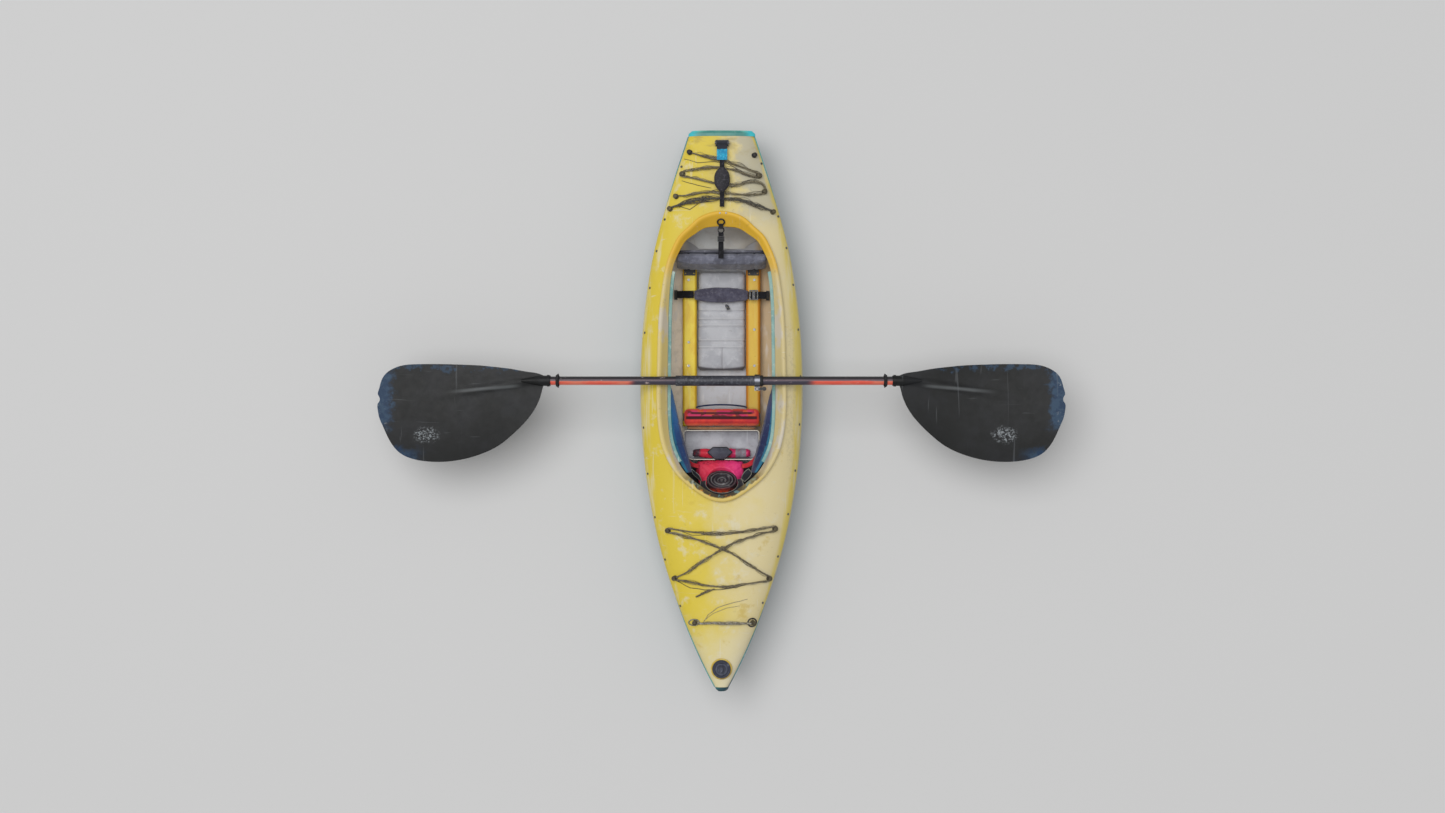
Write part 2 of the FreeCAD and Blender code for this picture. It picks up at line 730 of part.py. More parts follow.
def soft_box(label, x0, x1, y0, y1, z0, z1, r):
    b = pd_body(label)
    sk = sketch(b, "XY_Plane", label + "_plan")
    rect(sk, 0, 0, x1 - x0, y1 - y0)
    p = pad(b, sk, z1 - z0)
    doc.recompute()
    ed = edges_where(p, lambda e: True)
    fillet(b, p, ed, r)
    doc.recompute()
    b.Placement = Placement(V((x0 + x1) / 2, (y0 + y1) / 2, z0), Rotation())
    return b


soft_box("seat_pad", -92, 92, 156, 538, 31, 69, 9)

# gear tray: open tub with round corners
tray = pd_body("gear_tray")
sk = sketch(tray, "XY_Plane", "tray_plan")
rect(sk, 0, 0, 2 * D("tray_half"), D("tray_back") - D("tray_front"), "2 * dims.tray_half", "dims.tray_back - dims.tray_front")
p = pad(tray, sk, D("tray_depth"), "dims.tray_depth")
doc.recompute()
vert = edges_where(p, lambda e: abs(e.Vertexes[0].Z - e.Vertexes[1].Z) > 10 and e.Vertexes[0].Y < 0)
f1 = fillet(tray, p, vert, 38)
doc.recompute()
vert2 = edges_where(f1, lambda e: abs(e.Vertexes[0].Z - e.Vertexes[-1].Z) > 10 and mid(e).y > 40)
f2 = fillet(tray, f1, vert2, 12)
doc.recompute()
bot = edges_where(f2, lambda e: abs(mid(e).z) < 0.01)
f3 = fillet(tray, f2, bot, 9)
doc.recompute()
th = tray.newObject("PartDesign::Thickness", "tray_hollow")
topf = [("Face%d" % (i + 1)) for i, f in enumerate(f3.Shape.Faces) if abs(f.CenterOfMass.z - D("tray_depth")) < 0.01]
th.Base = (f3, topf)
th.Value = D("tray_wall")
th.setExpression("Value", "dims.tray_wall")
th.Reversed = True
th.Mode = 0
th.Join = 0
doc.recompute()
tray.Placement = Placement(V(0, (D("tray_front") + D("tray_back")) / 2, D("tray_floor")), Rotation())

# ------------------------------------------------------------------ thigh pads, foot brace, flotation bag
def thigh_pad(sign):
    rows = []
    prof = [(96, 6, 168), (60, 16, 150), (10, 27, 132), (-50, 38, 118), (-110, 46, 112), (-160, 44, 116), (-205, 34, 128), (-236, 20, 146)]
    for y, w, zb in prof:
        # outer side follows the coaming's inner edge, moved in
        xi = 0.0
        for i in range(len(IN_PTS)):
            a, b = IN_PTS[i], IN_PTS[(i + 1) % len(IN_PTS)]
            if (a.y - y) * (b.y - y) <= 0 and abs(a.y - b.y) > 1e-12:
                k = (y - a.y) / (b.y - a.y)
                xi = max(xi, abs(a.x + k * (b.x - a.x)))
        xo = xi - 3.0
        xn = xo - w
        z1 = 226.0
        rows.append([V(sign * xo, y, z1), V(sign * (xo - w * 0.35), y, z1 - 6), V(sign * (xn + w * 0.12), y, z1 - 40), V(sign * xn, y, zb + 18),
                     V(sign * (xn + 4), y, zb), V(sign * (xo + 12), y, zb - 4), V(sign * (xo + 16), y, zb + 30), V(sign * (xo + 7), y, z1 - 18)])
    return bar_solid(rows)


feat("thigh_pads", Part.makeCompound([thigh_pad(-1), thigh_pad(1)]))

soft_box("footrest_pad", -146, 148, -62, 8, 79.2, 126, 19)

bar_ = pd_body("footrest_bar")
sk = sketch(bar_, "XY_Plane", "bar_plan")
rect(sk, 0, 0, 2 * D("brace_half"), 34, "2 * dims.brace_half")
p = pad(bar_, sk, 10)
doc.recompute()
fillet(bar_, p, edges_where(p, lambda e: abs(e.Vertexes[0].Z - e.Vertexes[-1].Z) > 5), 6)
bar_.Placement = Placement(V(1, -26, ztop + 3.6), Rotation())
doc.recompute()

# ------------------------------------------------------------------ backrest on its hinge
hy, hz, lean = D("back_hinge_y"), D("back_hinge_z"), math.radians(D("back_lean"))
brd = doc.addObject("PartDesign::Body", "backrest_plate")
sk = sketch(brd, "XY_Plane", "board_plan")
rect(sk, 0, 0, 2 * D("back_half") - 14, 9, "2 * dims.back_half - 14")
p = pad(brd, sk, D("back_height") - 8, "dims.back_height - 8")
doc.recompute()
fillet(brd, p, edges_where(p, lambda e: abs(e.Vertexes[0].Y - e.Vertexes[-1].Y) > 5 and mid(e).z > 50), 24)
RB = Rotation(V(1, 0, 0), -D("back_lean"))


def on_back(x, y, z):
    """A point given in the backrest's own upright frame, leaned back about the hinge line."""
    return V(0, hy, hz) + RB.multVec(V(x, y, z))


brd.Placement = Placement(on_back(0, 17, 6), RB)
padb = pd_body("backrest_pad")
sk = sketch(padb, "XY_Plane", "pad_plan")
rect(sk, 0, 0, 2 * D("back_half"), 34, "2 * dims.back_half")
p = pad(padb, sk, D("back_height") - 12, "dims.back_height - 12")
doc.recompute()
fillet(padb, p, edges_where(p, lambda e: True), 12)
padb.Placement = Placement(on_back(0, -5.5, 14), RB)
doc.recompute()

# hinge: two brackets on the rails, a pin through each, and two arms on the board
def bracket(sign):
    x = sign * 123.0
    base = Part.makeBox(44, 34, 4, V(x - 22, hy - 18 - 12, ztop + 0.1))
    ear1 = Part.makeBox(4, 26, 30, V(x - 13, hy - 13, ztop + 0.1)).fuse(Part.makeBox(4, 26, 30, V(x + 9, hy - 13, ztop + 0.1)))
    b = base.fuse(ear1)
    b = b.cut(Part.makeCylinder(4.2, 60, V(x - 30, hy, hz), V(1, 0, 0)))
    return b


# the rails stop short of the hinge line, so each bracket has a foot that reaches back over the rail end
def foot(sign):
    x = sign * 123.0
    s = Part.makeBox(44, 46, 4, V(x - 22, hy - 34, ztop + 0.1))
    ears = Part.makeBox(4, 22, 29, V(x - 13, hy - 11, ztop + 0.1)).fuse(Part.makeBox(4, 22, 29, V(x + 9, hy - 11, ztop + 0.1)))
    s = s.fuse(ears).removeSplitter()
    s = s.cut(Part.makeCylinder(4.2, 60, V(x - 30, hy, hz), V(1, 0, 0)))
    for dx in (-16, 16):
        s = s.cut(Part.makeCylinder(2.6, 20, V(x + dx, hy - 26, ztop - 5)))
    return solid(s)


feat("hinge_brackets", Part.makeCompound([foot(-1), foot(1)]))
pins = []
for sign in (-1, 1):
    x = sign * 123.0
    pin = Part.makeCylinder(4.0, 30, V(x - 15, hy, hz), V(1, 0, 0)).fuse(Part.makeCylinder(6.5, 3, V(x - 18, hy, hz), V(1, 0, 0)))
    pin = pin.fuse(Part.makeCylinder(6.5, 3, V(x + 13.2, hy, hz), V(1, 0, 0)))
    pins.append(solid(pin.removeSplitter()))
feat("hinge_pins", Part.makeCompound(pins))
arms = []
for sign in (-1, 1):
    x = sign * 123.0
    a = Part.makeCylinder(9, 16, V(-8, 0, 0), V(1, 0, 0))
    a = a.fuse(Part.makeBox(16, 9, 52, V(-8, 21.8, 4)))
    a = a.fuse(Part.makeBox(16, 25, 8, V(-8, 5.0, 4)).cut(Part.makeCylinder(4.2, 30, V(-15, 0, 0), V(1, 0, 0))))
    a = a.cut(Part.makeCylinder(4.3, 30, V(-15, 0, 0), V(1, 0, 0)))
    a = solid(a.removeSplitter())
    a.Placement = Placement(V(x, hy, hz), RB)
    arms.append(a)
plate = brd.Shape.copy()
for a in arms:
    plate = plate.fuse(a)
feat("backrest_board", solid(plate.removeSplitter()))

# strap from the coaming's stern end to the top of the backrest
def ribbon(path, half, t):
    """Flat strap lying along path (points in one YZ plane), half = half width across X, t = thickness."""
    rows = []
    for i, p in enumerate(path):
        a = path[max(0, i - 1)]
        b = path[min(len(path) - 1, i + 1)]
        d = V(0, b[1] - a[1], b[2] - a[2])
        d.normalize()
        n = V(0, -d.z, d.y)
        c = V(*p)
        rows.append([c + V(-half, 0, 0), c + V(half, 0, 0), c + V(half, 0, 0) + n * t, c + V(-half, 0, 0) + n * t])
    return bar_solid(rows)


zr = coaming_z(700)
anchor = Part.makeBox(30, 16, 3, V(-17, 699, zr - 50)).fuse(Part.makeBox(30, 3, 21, V(-17, 715, zr - 50)))
anchor = anchor.cut(Part.makeCylinder(2.6, 20, V(-2, 726, zr - 38), V(0, -1, 0)))
anchor = anchor.fuse(Part.makeBox(20, 18, 3, V(-12, 693, zr - 50)))
anchor = solid(anchor.removeSplitter())
ringl = Part.makeTorus(11, 2.3, V(0, 0, 0), V(0, 0, 1))
ringl.Placement = Placement(V(-2, 686, zr - 52.5), Rotation(V(1, 0, 0), 8))


def top_of(shape, x, y):
    c = Part.makeLine(V(x, y, 120), V(x, y, 400)).common(shape)
    return max(v.Z for v in c.Vertexes)


rim = [o for o in PARTS if o.Label == "cockpit_coaming"][0].Shape
hz1, hz2 = top_of(rim, -2, 704), top_of(rim, -2, 722)
hook_tilt = math.degrees(math.atan2(hz2 - hz1, 18.0))
hook = Part.makeTorus(13, 3.0, V(0, 0, 0), V(0, 0, 1))
hook.Placement = Placement(V(-2, 713, (hz1 + hz2) / 2 + 5.2), Rotation(V(1, 0, 0), hook_tilt))

feat("strap_anchor", Part.makeCompound([anchor, ringl, hook]))
feat("backrest_strap", ribbon([(-2, 677, 205.5), (-2, 664, 207), (-2, 648, 208.8), (-2, 630, 210.4), (-2, 610, 211.2), (-2, 592, 211.4), (-2, 577, 210.8)], 10, 2.2))
bk = Part.makeBox(26, 20, 6, V(-15, 641, 212.2))
bk = bk.cut(Part.makeBox(20, 4, 20, V(-12, 645, 205))).cut(Part.makeBox(20, 4, 20, V(-12, 653, 205)))
feat("strap_buckle", solid(bk))

# ------------------------------------------------------------------ padded lap strap over the seat
def band_pad():
    rows = []
    for i in range(17):
        x = -104 + 208 * i / 16.0
        h = 18 + 12 * (1 - abs(x / 104.0) ** 2.4)
        ht = 3.0 + 9.5 * (1 - abs(x / 104.0) ** 3)
        row = []
        for k in range(12):
            a = 2 * math.pi * k / 12
            row.append(V(x - 2, 445 + h * math.cos(a), 84.5 + ht * math.sin(a)))
        rows.append(row)
    ws = [Part.Wire([periodic(r)]) for r in rows]
    return solid(Part.makeLoft(ws, True, False, False))


feat("band_pad", band_pad())


def strap_x(pts, y0, half, t):
    """Strap running across X through points (x, z)."""
    rows = []
    for i, (x, z) in enumerate(pts):
        a = pts[max(0, i - 1)]
        b = pts[min(len(pts) - 1, i + 1)]
        d = V(b[0] - a[0], 0, b[1] - a[1])
        d.normalize()
        n = V(-d.z, 0, d.x)
        c = V(x, y0, z)
        rows.append([c + V(0, -half, 0), c + V(0, half, 0), c + V(0, half, 0) + n * t, c + V(0, -half, 0) + n * t])
    return bar_solid(rows)


webs = [strap_x([(-176, 53), (-174.5, 60), (-170, 66.5), (-160, 71), (-145, 75), (-126, 80), (-106.6, 83.4)], 448, 14, 2.2),
        strap_x([(103.2, 83.4), (124, 80), (145, 75), (162, 71), (172, 66.5), (176.5, 60), (178, 53)], 445, 14, 2.2)]
feat("band_webbing", Part.makeCompound(webs))


def buckle(x, y, z):
    s = Part.makeBox(34, 38, 7, V(x - 17, y - 19, z)).cut(Part.makeBox(6, 30, 20, V(x - 12, y - 15, z - 5)))
    s = s.cut(Part.makeBox(6, 30, 20, V(x + 6, y - 15, z - 5)))
    return solid(s.removeSplitter())




def band_anchor(x, y, s):
    zb = max(hull_under(abs(x) + 6, y + dy, 10.4) for dy in (-18, 0, 18)) + 0.8
    b = Part.makeBox(12, 37, 51 - zb, V(x - 6, y - 18.5, zb)).cut(Part.makeBox(6, 30, 40, V(x - 3, y - 15, zb + 4)))
    return solid(b.removeSplitter())


lap_buckle = buckle(124, 445, 86.4)
feat("band_anchors", Part.makeCompound([band_anchor(-177, 448, -1), band_anchor(179, 445, 1)]))
tg = Part.makeCylinder(6, 17, V(20, 404, 76.2), V(0.5, -1, 0))
tg = tg.fuse(Part.makeSphere(6.0, V(20, 404, 76.2)))
feat("band_hardware", Part.makeCompound([lap_buckle, solid(tg.removeSplitter())]))

# ------------------------------------------------------------------ flotation bag with its round screw valve
def bag():
    secs = []
    prof = [(-195, 86, 38, 104), (-208, 94, 36, 118), (-232, 95, 36, 128), (-258, 90, 37, 144), (-284, 80, 40, 156), (-308, 66, 46, 160), (-327, 48, 54, 148)]
    for y, w, z0, z1 in prof:
        c = (z0 + z1) / 2.0
        h = (z1 - z0) / 2.0
        pts = []
        for k in range(20):
            a = 2 * math.pi * k / 20
            ca, sa = math.cos(a), math.sin(a)
            pts.append(V(-6 + w * math.copysign(abs(ca) ** 0.7, ca), y, c + h * math.copysign(abs(sa) ** 0.7, sa)))
        secs.append(Part.Wire([periodic(pts)]))
    return solid(Part.makeLoft(secs, True, False, False))


VT = Rotation(V(1, 0, 0), -D("valve_tilt"))
VC = V(1, -281, 150)
cut_tool = Part.makeCylinder(D("valve_radius") + 2.5, 80)
cut_tool.Placement = Placement(VC + VT.multVec(V(0, 0, -0.4)), VT)
bagged = bag().cut(cut_tool)


def bag_roll():
    """The bag's rolled inlet, lying in the tray's bow end."""
    secs = []
    for x, r, dz in [(-113, 11, -6), (-106, 15.5, 0), (-84, 19, 6), (-62, 20, 2), (-34, 20, 8), (-12, 21, 14), (16, 21, 14), (38, 19, 6), (60, 20, 4), (82, 17, 0), (100, 19, 6), (108, 16, 4), (113, 11, -4)]:
        pts = []
        for k in range(14):
            a = 2 * math.pi * k / 14
            pts.append(V(x, -165 + min(r, 16.5) * math.cos(a), 62 + dz * 0.5 + (r + dz * 0.5) * math.sin(a)))
        secs.append(Part.Wire([periodic(pts)]))
    return solid(Part.makeLoft(secs, True, False, False))


feat("float_bag", Part.makeCompound([solid(bagged), bag_roll()]))

vr = pd_body("valve_ring")
sk = sketch(vr, "XY_Plane", "valve_ring_plan")
circle(sk, 0, 0, D("valve_radius"), "dims.valve_radius")
circle(sk, 0, 0, D("valve_radius") - 10, "dims.valve_radius - 10")
pad(vr, sk, 20)
vr.Placement = Placement(VC, VT)
doc.recompute()
vc = pd_body("valve_cap")
sk = sketch(vc, "XZ_Plane", "valve_cap_section")
poly(sk, [(0, 3), (46.5, 3), (46.5, 18), (44, 21), (37, 21), (34, 17), (29, 17), (26, 22), (20, 22), (17, 17), (10, 17), (7, 20), (0, 20)])
rv = vc.newObject("PartDesign::Revolution", "Revolution")
rv.Profile = sk
rv.ReferenceAxis = (sk, ["V_Axis"])
rv.Angle = 360
doc.recompute()
vc.Placement = Placement(VC, VT)
doc.recompute()

# ------------------------------------------------------------------ screw hatch near the bow
HY = D("hatch_y")
HSLOPE = math.degrees(math.atan((deck_z(0, HY + 36) - deck_z(0, HY - 36)) / 72.0))
HROT = Rotation(V(1, 0, 0), HSLOPE)
HZ = (deck_z(0, HY + 36) + deck_z(0, HY - 36)) / 2.0 + 0.9
hr = pd_body("hatch_ring")
sk = sketch(hr, "XZ_Plane", "hatch_ring_section")
poly(sk, [(26.5, -14), (30.6, -14), (30.6, 1.2), (D("hatch_flange"), 1.2), (D("hatch_flange"), 3.6), (37.6, 5.6), (35.4, 5.6), (35.4, 3.4), (26.5, 3.4)])
rv = hr.newObject("PartDesign::Revolution", "Revolution")
rv.Profile = sk
rv.ReferenceAxis = (sk, ["V_Axis"])
rv.Angle = 360
hr.Placement = Placement(V(0, HY, HZ), HROT)
doc.recompute()
gk = pd_body("hatch_gasket")
sk = sketch(gk, "XY_Plane", "gasket_plan")
circle(sk, 0, 0, 34.6)
circle(sk, 0, 0, 28.0)
pad(gk, sk, 1.5)
gk.Placement = Placement(V(0, HY, HZ) + HROT.multVec(V(0, 0, 3.6)), HROT)
doc.recompute()
hc = pd_body("hatch_cap")
sk = sketch(hc, "XZ_Plane", "hatch_cap_section")
poly(sk, [(0, 5.4), (D("hatch_cap_radius"), 5.4), (D("hatch_cap_radius"), 11), (31.5, 13.5), (26, 13.5), (24, 11.2), (0, 10.6)])
rv = hc.newObject("PartDesign::Revolution", "Revolution")
rv.Profile = sk
rv.ReferenceAxis = (sk, ["V_Axis"])
rv.Angle = 360
doc.recompute()
s2 = sketch(hc, "XY_Plane", "grip_plan")
rect(s2, 0, 0, 9, 46)
p2 = pad(hc, s2, 17.5)
doc.recompute()
s3 = sketch(hc, "XY_Plane", "spigot_plan")
circle(s3, 0, 0, 25.9)
p3 = pad(hc, s3, 6.0)
doc.recompute()
s4 = sketch(hc, "XY_Plane", "spigot_bore")
circle(s4, 0, 0, 23.0)
pk = pocket(hc, s4, 5.2, rev=True)
doc.recompute()
hc.Placement = Placement(V(0, HY, HZ), HROT)
doc.recompute()

# ------------------------------------------------------------------ deck eyes, rivets, screws
def eye(x, y, ang, big=1.0):
    """Bungee button: a puck screwed to the deck, a post and a mushroom head."""
    prof = [(0, 0), (D("eye_puck"), 0), (D("eye_puck"), 2.2), (D("eye_puck") - 1.4, 3.4), (4.4, 3.4), (4.4, 12.1), (8.0, 12.4),
            (9.0, 13.6), (7.8, 15.6), (4.5, 16.8), (0, 17.1)]
    f = Part.Face(Part.makePolygon([V(a, 0, b) for a, b in prof] + [V(0, 0, 0)]))
    e = f.revolve(V(0, 0, 0), V(0, 0, 1), 360)
    e.Placement = Placement(V(x, y, deck_z(x, y)) + deck_normal(x, y) * 0.25, Rotation(V(0, 0, 1), deck_normal(x, y)))
    return solid(e)


BOW_EYES = [(-200, -453, 0), (200, -446, 0), (177, -634, 0), (-174, -633, 0), (-98, -800, 0), (116, -801, 0)]
STERN_EYES = [(-119, 978, 0), (123, 967, 0), (-146, 896, 0), (139, 889, 0), (-171, 811, 0), (161, 829, 0), (-193, 764, 0), (193, 752, 0)]
feat("deck_eyes", Part.makeCompound([eye(*e) for e in BOW_EYES + STERN_EYES]))


def rivet(x, y):
    z = deck_z(x, y)
    n = deck_normal(x, y)
    r = Part.makeCylinder(4.6, 1.2).fuse(Part.makeSphere(9.6, V(0, 0, -8.0)).common(Part.makeBox(20, 20, 10, V(-10, -10, 0.4))))
    r = solid(r.removeSplitter())
    r.Placement = Placement(V(x, y, z) + n * 0.2, Rotation(V(0, 0, 1), n))
    return r


RIV = []
for y in (-735, -560, -400, -235, -60, 122, 300, 470, 610, 730, 930):
    for s in (-1, 1):
        RIV.append((s * (deck_half(y) - 9.0), y + (7 if s > 0 else -5)))
cs = []
for x in (-6, 17):
    cs.append(screw(V(x, 745.6, coaming_z(745.6) + 2.5), head=3.4, shank=0.01 + 1.4, length=0.1, hh=1.6))
feat("deck_fasteners", Part.makeCompound([rivet(x, y) for x, y in RIV] + cs))

# ------------------------------------------------------------------ stern lifting handle
HDY = D("handle_y")
hzc = deck_z(0, HDY) + 15.4
zb = deck_z(0, HDY) + 1.2
blk = Part.makeBox(50, 24, 5.5, V(-23, HDY - 12, zb))
blk = blk.fuse(Part.makeBox(4.5, 16, 20.5, V(-23, HDY - 8, zb))).fuse(Part.makeBox(4.5, 16, 20.5, V(22.5, HDY - 8, zb)))
blk = blk.cut(Part.makeCylinder(3.6, 80, V(-30, HDY, hzc), V(1, 0, 0)))
feat("handle_anchor", solid(blk.removeSplitter()))
hp = Part.makeCylinder(3.4, 50, V(-23, HDY, hzc), V(1, 0, 0))
hp = hp.fuse(Part.makeCylinder(5.2, 2.4, V(-25.6, HDY, hzc), V(1, 0, 0))).fuse(Part.makeCylinder(5.2, 2.4, V(27.2, HDY, hzc), V(1, 0, 0)))
feat("handle_pin", solid(hp.removeSplitter()))


def gz(y):
    """Height of the handle's centre line above the deck, along the boat."""
    return linear([(760, deck_z(0, 768) + 12.5), (800, deck_z(0, 800) + 21), (826, deck_z(0, 826) + 26), (873, deck_z(0, 873) + 27.5),
                   (920, deck_z(0, 920) + 25.5), (950, deck_z(0, 950) + 19), (985, deck_z(0, 985) + 14.5), (1004, hzc)])(y)


tabpts = [(2, y, gz(y) - 1.5) for y in (946, 955, 965, 976, 987, 996)]
loop = Part.makeCylinder(7.4, 40, V(-18, HDY, hzc), V(1, 0, 0)).cut(Part.makeCylinder(3.8, 60, V(-30, HDY, hzc), V(1, 0, 0)))
tabw = ribbon(tabpts + [(2, 1002, hzc - 1.5), (2, 1006, hzc - 1.5)], 19.5, 3.0)
tabs_ = solid(tabw.fuse(loop).removeSplitter())
tabs_ = solid(tabs_.cut(Part.makeCylinder(3.8, 60, V(-30, HDY, hzc), V(1, 0, 0))))
feat("handle_tab", tabs_)
hneck = ribbon([(2, y, gz(y) - 2.0) for y in (917.5, 925, 934, 945.6)], 9.0, 4.0)


def grip():
    ws = []
    for i in range(13):
        y = 827 + 90 * i / 12.0
        f = 1 - abs((y - 872) / 45.0) ** 2.6
        w, h = 9 + 20.5 * f, 4.5 + 7.5 * f
        pts = [V(2 + w * math.cos(2 * math.pi * k / 14), y, gz(y) + h * math.sin(2 * math.pi * k / 14)) for k in range(14)]
        ws.append(Part.Wire([periodic(pts)]))
    return solid(Part.makeLoft(ws, True, False, False))


feat("handle_grip", grip())
htail = ribbon([(2, y, gz(y) - 2.0) for y in (770, 782, 795, 810, 826.6)], 8.5, 4.0)
feat("handle_webbing", Part.makeCompound([hneck, htail]))

# ------------------------------------------------------------------ cords: straight runs joined by tangent arcs
CORD_REPORT = []


def tube(label, pts, dia):
    P = [V(*p) for p in pts]
    n = len(P)
    edges = []
    cur = P[0]
    radii = []
    total = 0.0
    for i in range(1, n - 1):
        a, b, c = P[i - 1], P[i], P[i + 1]
        u, v = (a - b), (c - b)
        la, lc = u.Length, v.Length
        u.normalize()
        v.normalize()
        turn = math.pi - u.getAngle(v)
        cut = 0.45 * min(la, lc)
        r = cut / math.tan(turn / 2)
        radii.append(r)
        p1, p2 = b + u * cut, b + v * cut
        bis = (u + v)
        bis.normalize()
        m = b + bis * (r / math.cos(turn / 2) - r)
        edges.append(Part.LineSegment(cur, p1).toShape())
        arc = Part.Arc(p1, m, p2).toShape()
        edges.append(arc)
        total += (p1 - cur).Length + r * turn
        cur = p2
    edges.append(Part.LineSegment(cur, P[-1]).toShape())
    total += (P[-1] - cur).Length
    path = Part.Wire(edges)
    d = P[1] - P[0]
    prof = Part.Wire([Part.makeCircle(dia / 2.0, P[0], d)])
    s = path.makePipeShell([prof], True, True)
    s = solid(s)
    want = math.pi * dia * dia / 4 * total
    CORD_REPORT.append("%s: length %.0f mm, radii %s, volume ratio %.3f" % (label, total, " ".join("%.0f" % r for r in radii), s.Volume / want))
    return s


def over(x, y, h):
    return (x, y, deck_z(x, y) + h)


def by_post(post, dx, dy, h):
    """A point beside a bungee button, offset in the deck's own slope and lifted h along its normal."""
    n = deck_normal(post[0], post[1])
    ex = (V(1, 0, 0) - n * n.x)
    ex.normalize()
    ey = n.cross(ex)
    p = V(post[0], post[1], deck_z(post[0], post[1])) + n * h + ex * dx + ey * dy
    return (p.x, p.y, p.z)


def round_post(prev, post, nxt, R, h, side):
    """Corner points that take a cord round a post: from the direction of prev, away towards nxt.
    side = +1 goes round anticlockwise seen from above, -1 clockwise."""
    px, py = post
    def tangent(q, sgn):
        dx, dy = q[0] - px, q[1] - py
        d = math.hypot(dx, dy)
        base = math.atan2(dy, dx)
        return base + sgn * math.acos(R / d)
    a0 = tangent(prev, side)
    a1 = tangent(nxt, -side)
    while (a1 - a0) * side < 0:
        a1 += side * 2 * math.pi
    n = max(2, int(math.ceil(abs(a1 - a0) / math.radians(62))))
    step = (a1 - a0) / n
    rr = R / math.cos(step / 2)
    out = []
    for k in range(n):
        a = a0 + step * (k + 0.5)
        p = by_post(post, rr * math.cos(a), rr * math.sin(a), h)
        out.append(p)
    return out


BUN = D("bungee")
BE = [(e[0], e[1]) for e in BOW_EYES]
SE = [(e[0], e[1]) for e in STERN_EYES]
RW = 8.6
bow = [by_post(BE[3], 8.6, 5, 7.3), over(-146, -619, 8.6), over(-110, -596, 9.2), over(-62, -561, 9), over(-30, -540.5, 16.5), over(-8, -525, 18.2),
       over(16, -511, 18.2), over(48, -497, 15.2), over(86, -484.5, 9.6), over(132, -470, 9), over(172, -459, 7.8)]
bow += round_post((172, -459), BE[1], (168, -450), RW, 7.1, 1)
bow += [over(160, -444.5, 8.2), over(112, -451, 9.3), over(60, -457, 9), over(4, -461.5, 9), over(-58, -462, 9), over(-116, -457, 9.3), over(-166, -449.5, 8.2)]
bow += round_post((-166, -449.5), BE[0], (-168, -464), RW, 7.1, 1)
bow += [over(-168, -465, 7.9), over(-128, -476, 9.2), over(-80, -489, 9), over(-32, -506, 8.8), over(20, -527, 8.8), over(70, -557, 9), over(118, -589, 9.2), over(154, -613.5, 8.2)]
bow += round_post((154, -613.5), BE[2], (146, -646), RW, 7.1, -1)
bow += [over(143, -646, 8), over(98, -652.5, 9), over(46, -661, 8.8), over(-10, -664.5, 8.8), over(-62, -657, 8.9), over(-108, -647.5, 9), over(-140, -640.5, 8), by_post(BE[3], 8.2, -5.5, 7.3)]
feat("bow_bungee", tube("bow_bungee", bow, BUN))
btail = [over(-26, -672.5, 6.4), over(-44, -677, 5.6), over(-62, -684, 5.2), over(-80, -694, 5.0), over(-97, -701.5, 5.0)]
feat("bow_bungee_tail", tube("bow_bungee_tail", btail, BUN - 0.6))
rope = [by_post(BE[4], 9.6, -1, 7.9), over(-70, -803.5, 9.5), over(-32, -800, 10.5), over(6, -803, 10.6), over(46, -799.5, 10.5), over(82, -803, 9.5), by_post(BE[5], -9.6, 0, 7.9)]
feat("bow_rope", tube("bow_rope", rope, D("rope")))
st_ = [by_post(SE[0], 9.2, -3.5, 7.3), over(-88, 967, 8.6), over(-44, 958, 9), over(2, 948, 9), over(50, 931, 9.2), over(92, 915.5, 9), over(122, 904.5, 8)]
st_ += round_post((122, 904.5), SE[3], (112, 888), RW, 7.1, -1)
st_ += [over(110, 889, 8.2), over(68, 902, 9), over(22, 915.5, 9), over(-30, 921, 9), over(-80, 916, 9), over(-118, 908, 8.2)]
st_ += round_post((-118, 908), SE[2], (-112, 886), RW, 7.1, 1)
st_ += [over(-112, 880, 8.4), over(-70, 869, 9), over(-22, 857, 9), over(26, 850.5, 9), over(72, 854.5, 9), over(112, 866, 9.2), over(143, 865, 9), over(164, 850, 8.4)]
st_ += round_post((164, 852), SE[5], (134, 814), RW, 7.1, -1)
st_ += [over(132, 817.5, 8.3), over(88, 815, 9), over(40, 819, 9), over(-14, 826.5, 9), over(-66, 826, 9), over(-114, 816.5, 9), over(-146, 812, 8), by_post(SE[4], 9.4, 1.5, 7.3)]
feat("stern_bungee", tube("stern_bungee", st_, BUN))
arc_ = [by_post(SE[6], 9.4, 4.5, 8.2), over(-146, 783, 9.8), over(-98, 796, 10.2), over(-42, 801.5, 10.2), over(14, 800, 10.2), over(68, 796.5, 10.2), over(120, 783, 10.2), over(158, 768, 9.4), by_post(SE[7], -9.6, 4, 8.2)]
feat("stern_arc_cord", tube("stern_arc_cord", arc_, D("heavy_bungee")))

# ------------------------------------------------------------------ paddle laid across the coaming
PY = D("paddle_y")
PZ = coaming_z(PY) + 2.5 + D("shaft_radius") + 0.35
ctube = pd_body("centre_tube")
sk = sketch(ctube, "YZ_Plane", "tube_section")
circle(sk, 0, 0, D("tube_outer"), "dims.tube_outer")
circle(sk, 0, 0, D("tube_inner"), "dims.tube_inner")
pad(ctube, sk, D("tube_right") - D("tube_left"), "dims.tube_right - dims.tube_left")
ctube.Placement = Placement(V(D("tube_left"), PY, PZ), Rotation())
doc.recompute()


def shaft(label, x0, x1, r, bore):
    b = pd_body(label)
    k = sketch(b, "YZ_Plane", label + "_section")
    circle(k, 0, 0, r, "dims.shaft_radius" if r == D("shaft_radius") else None)
    circle(k, 0, 0, bore, "dims.shaft_bore" if bore == D("shaft_bore") else None)
    pad(b, k, x1 - x0)
    b.Placement = Placement(V(x0, PY, PZ), Rotation())
    doc.recompute()
    return b


